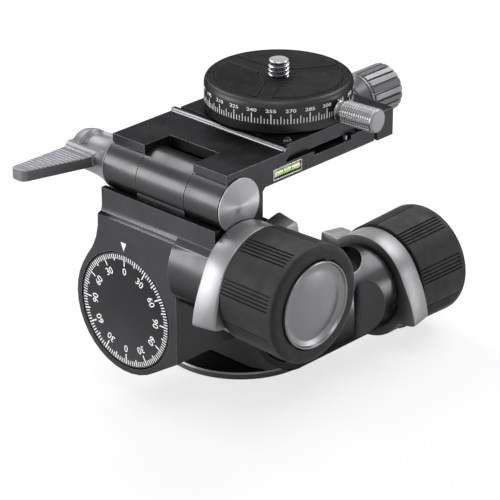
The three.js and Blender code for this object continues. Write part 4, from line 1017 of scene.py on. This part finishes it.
def make_stud():
    turned_piece("camera_screw_core", [
        (PINHOLE, 87.4), (5.4, 87.4, 0.2), (5.4, 89.6, 0.2), (THREAD_ROOT, 89.6, 0.1),
        (THREAD_ROOT, 97.2, 0.05), (2.95, 97.35, 0.05), (2.95, 97.7, 0.1), (2.75, STUD_TOP, 0.05),
        (PINHOLE, STUD_TOP),
    ], stud_metal, "stud", DRUM, ("camera_screw",), count=96, radius=0.05)
    section = [(THREAD_BED, -0.5), (THREAD_CREST - 0.1, -0.24), (THREAD_CREST, -0.16), (THREAD_CREST, 0.16),
               (THREAD_CREST - 0.1, 0.24), (THREAD_BED, 0.5)]
    total = int(THREAD_TURNS * THREAD_COUNT)
    points = []
    for step in range(total + 1):
        turn = 2 * math.pi * step / THREAD_COUNT
        rise = min(1, step / THREAD_RUN_OUT, (total - step) / THREAD_RUN_OUT)
        middle = THREAD_LOW + THREAD_PITCH * step / THREAD_COUNT
        points += [on_circle(THREAD_BED + (radius - THREAD_BED) * rise, turn, middle + shift)
                   for radius, shift in section]
    faces = ring_faces(total + 1, len(section), False, True)
    add_piece("camera_screw_thread", points, faces, stud_metal, "stud", angle=30, place=DRUM)


make_stud()


# Drum lock knob with its square knurl

LOCK_PLACE = DRUM @ Matrix.Translation((0, 0, 87)) @ Matrix.Rotation(math.radians(5.5), 4, "Z") @ ALONG_X
KNURL_RADIUS = 3.64
KNURL_FLOOR = 3.45
KNURL_DEPTH = 0.17
KNURL_ROUND = 22
KNURL_ROWS = 13
KNURL_PITCH = 0.8
KNURL_START = 24.9
# One knurl and the groove beside it: share of the pitch, and how far down
KNURL_SHAPE = [(0, 1), (0.12, 0), (0.88, 0)]


def make_lock_knob():
    turned_piece("lock_knob_neck", [
        (PINHOLE, 17.6), (1.6, 17.6, 0.1), (1.6, 22.7), (3.3, 22.7, 0.2), (3.0, 23.1, 0.3), (2.9, 24.3, 0.3),
        (3.1, 24.8, 0.1), (PINHOLE, 24.85),
    ], lock_metal, "lock_knob", LOCK_PLACE, ("drum_lock_knob",), count=64, radius=0.1)
    rows = [(2.6, 24.55, 0), (3.2, 24.6, 0), (3.5, 24.8, 0)]
    for row in range(KNURL_ROWS):
        rows += [(KNURL_FLOOR, KNURL_START + KNURL_PITCH * row, 0),
                 (KNURL_RADIUS, KNURL_START + KNURL_PITCH * (row + 0.22), 1),
                 (KNURL_RADIUS, KNURL_START + KNURL_PITCH * (row + 0.78), 1)]
    last = KNURL_START + KNURL_PITCH * KNURL_ROWS
    rows += [(KNURL_FLOOR, last, 0), (KNURL_RADIUS, last + 0.15, 0), (KNURL_RADIUS, 36.0, 0), (3.4, 36.35, 0),
             (3.1, 36.55, 0), (2.7, 36.6, 0), (PINHOLE, 36.5, 0)]
    points = ribbed_points(rows, KNURL_ROUND, KNURL_SHAPE, KNURL_DEPTH)
    faces = ring_faces(len(rows), KNURL_ROUND * len(KNURL_SHAPE), False, True)
    add_piece("lock_knob_knurled", points, faces, lock_metal, "lock_knob", angle=25,
              place=LOCK_PLACE)


make_lock_knob()


# Inner pieces keep their CAD shape

FINISH_OF_SLOT = {"black_anodised": black, "silver_anodised": silver, "bright_metal": bright, "steel": steel,
                  "gear_bronze": bronze, "grip_rubber": rubber, "vial": fluid}
for part in frame["record"]["subparts"]:
    node = nodes[part["node"]]
    node.data.materials.clear()
    node.data.materials.append(FINISH_OF_SLOT[part["material_slot"]])


# Floor and backdrop, seen as near white and still holding the shadow

FLOOR_REACH = 1.5
FLOOR_DROP = -0.0002
FLOOR_GLOW = 0.75
AMBIENT = 0.4

floor_mesh = bpy.data.meshes.new("floor")
floor_mesh.from_pydata([(-FLOOR_REACH, -FLOOR_REACH, FLOOR_DROP), (FLOOR_REACH, -FLOOR_REACH, FLOOR_DROP),
                        (FLOOR_REACH, FLOOR_REACH, FLOOR_DROP), (-FLOOR_REACH, FLOOR_REACH, FLOOR_DROP)],
                       [], [(0, 1, 2, 3)])
floor = bpy.data.objects.new("floor", floor_mesh)
scene.collection.objects.link(floor)
floor_material, tree, shader = new_material("floor_pale")
shader.inputs["Base Color"].default_value = (*grey(0.86), 1)
tree.links.new(remap(tree, noise(tree, scale=12, detail=2), low=0.68, high=0.72), shader.inputs["Roughness"])
glow = tree.nodes.new("ShaderNodeEmission")
blend = tree.nodes.new("ShaderNodeMixShader")
paths = tree.nodes.new("ShaderNodeLightPath")
seen = remap(tree, paths.outputs["Is Camera Ray"], 0, FLOOR_GLOW, start=0, end=1)
tree.links.new(seen, blend.inputs["Fac"])
tree.links.new(shader.outputs["BSDF"], blend.inputs[1])
tree.links.new(glow.outputs["Emission"], blend.inputs[2])
tree.links.new(blend.outputs["Shader"], tree.nodes["Material Output"].inputs["Surface"])
floor_mesh.materials.append(floor_material)

world = bpy.data.worlds.new("studio")
scene.world = world
world.use_nodes = True
tree = world.node_tree
background = tree.nodes["Background"]
background.inputs["Color"].default_value = (1, 1, 1, 1)
paths = tree.nodes.new("ShaderNodeLightPath")
seen = paths.outputs["Is Camera Ray"]
for ray in ("Is Transmission Ray", "Is Glossy Ray"):
    either = tree.nodes.new("ShaderNodeMath")
    either.operation = "MAXIMUM"
    tree.links.new(seen, either.inputs[0])
    tree.links.new(paths.outputs[ray], either.inputs[1])
    seen = either.outputs[0]
tree.links.new(remap(tree, seen, AMBIENT, 1.0, start=0, end=1), background.inputs["Strength"])


# Lamps and camera, in metres

def softbox(name, place, aim, width, height, power):
    light = bpy.data.lights.new(name, "AREA")
    light.shape = "RECTANGLE"
    light.size = width
    light.size_y = height
    light.energy = power
    lamp = bpy.data.objects.new(name, light)
    lamp.location = place
    lamp.rotation_euler = (Vector(aim) - Vector(place)).to_track_quat("-Z", "Y").to_euler()
    scene.collection.objects.link(lamp)


softbox("left_low", (-0.52, -0.66, 0.22), aim=(0.01, -0.03, 0.06), width=0.55, height=0.38, power=5.2)
softbox("left_high", (-0.56, 0.08, 0.61), aim=(0.01, -0.03, 0.06), width=0.5, height=0.3, power=3.9)
softbox("back_top", (0.05, 0.52, 0.62), aim=(0.01, 0.01, 0.05), width=0.6, height=0.26, power=3.4)
softbox("side_back", (0.62, 0.56, 0.06), aim=(0.02, 0.02, 0.03), width=0.16, height=0.4, power=2)
softbox("front_top", (0.26, -0.32, 0.8), aim=(0.01, -0.02, 0.05), width=0.5, height=0.3, power=2)

CAMERA_PLACE = (0.5096, -0.5351, 0.3780)
CAMERA_LENS = 189.72
SENSOR_WIDTH = 36

camera_data = bpy.data.cameras.new("camera")
camera_data.sensor_fit = "HORIZONTAL"
camera_data.sensor_width = SENSOR_WIDTH
camera_data.lens = CAMERA_LENS
camera = bpy.data.objects.new("camera", camera_data)
right = Vector((0.7269, 0.6867, 0.0)).normalized()
back = Vector((0.6221, -0.6585, 0.4236)).normalized()
up = back.cross(right).normalized()
right = up.cross(back).normalized()
camera.matrix_world = Matrix((
    (right.x, up.x, back.x, CAMERA_PLACE[0]),
    (right.y, up.y, back.y, CAMERA_PLACE[1]),
    (right.z, up.z, back.z, CAMERA_PLACE[2]),
    (0, 0, 0, 1),
))
scene.collection.objects.link(camera)
scene.camera = camera
scene.view_settings.view_transform = "Standard"
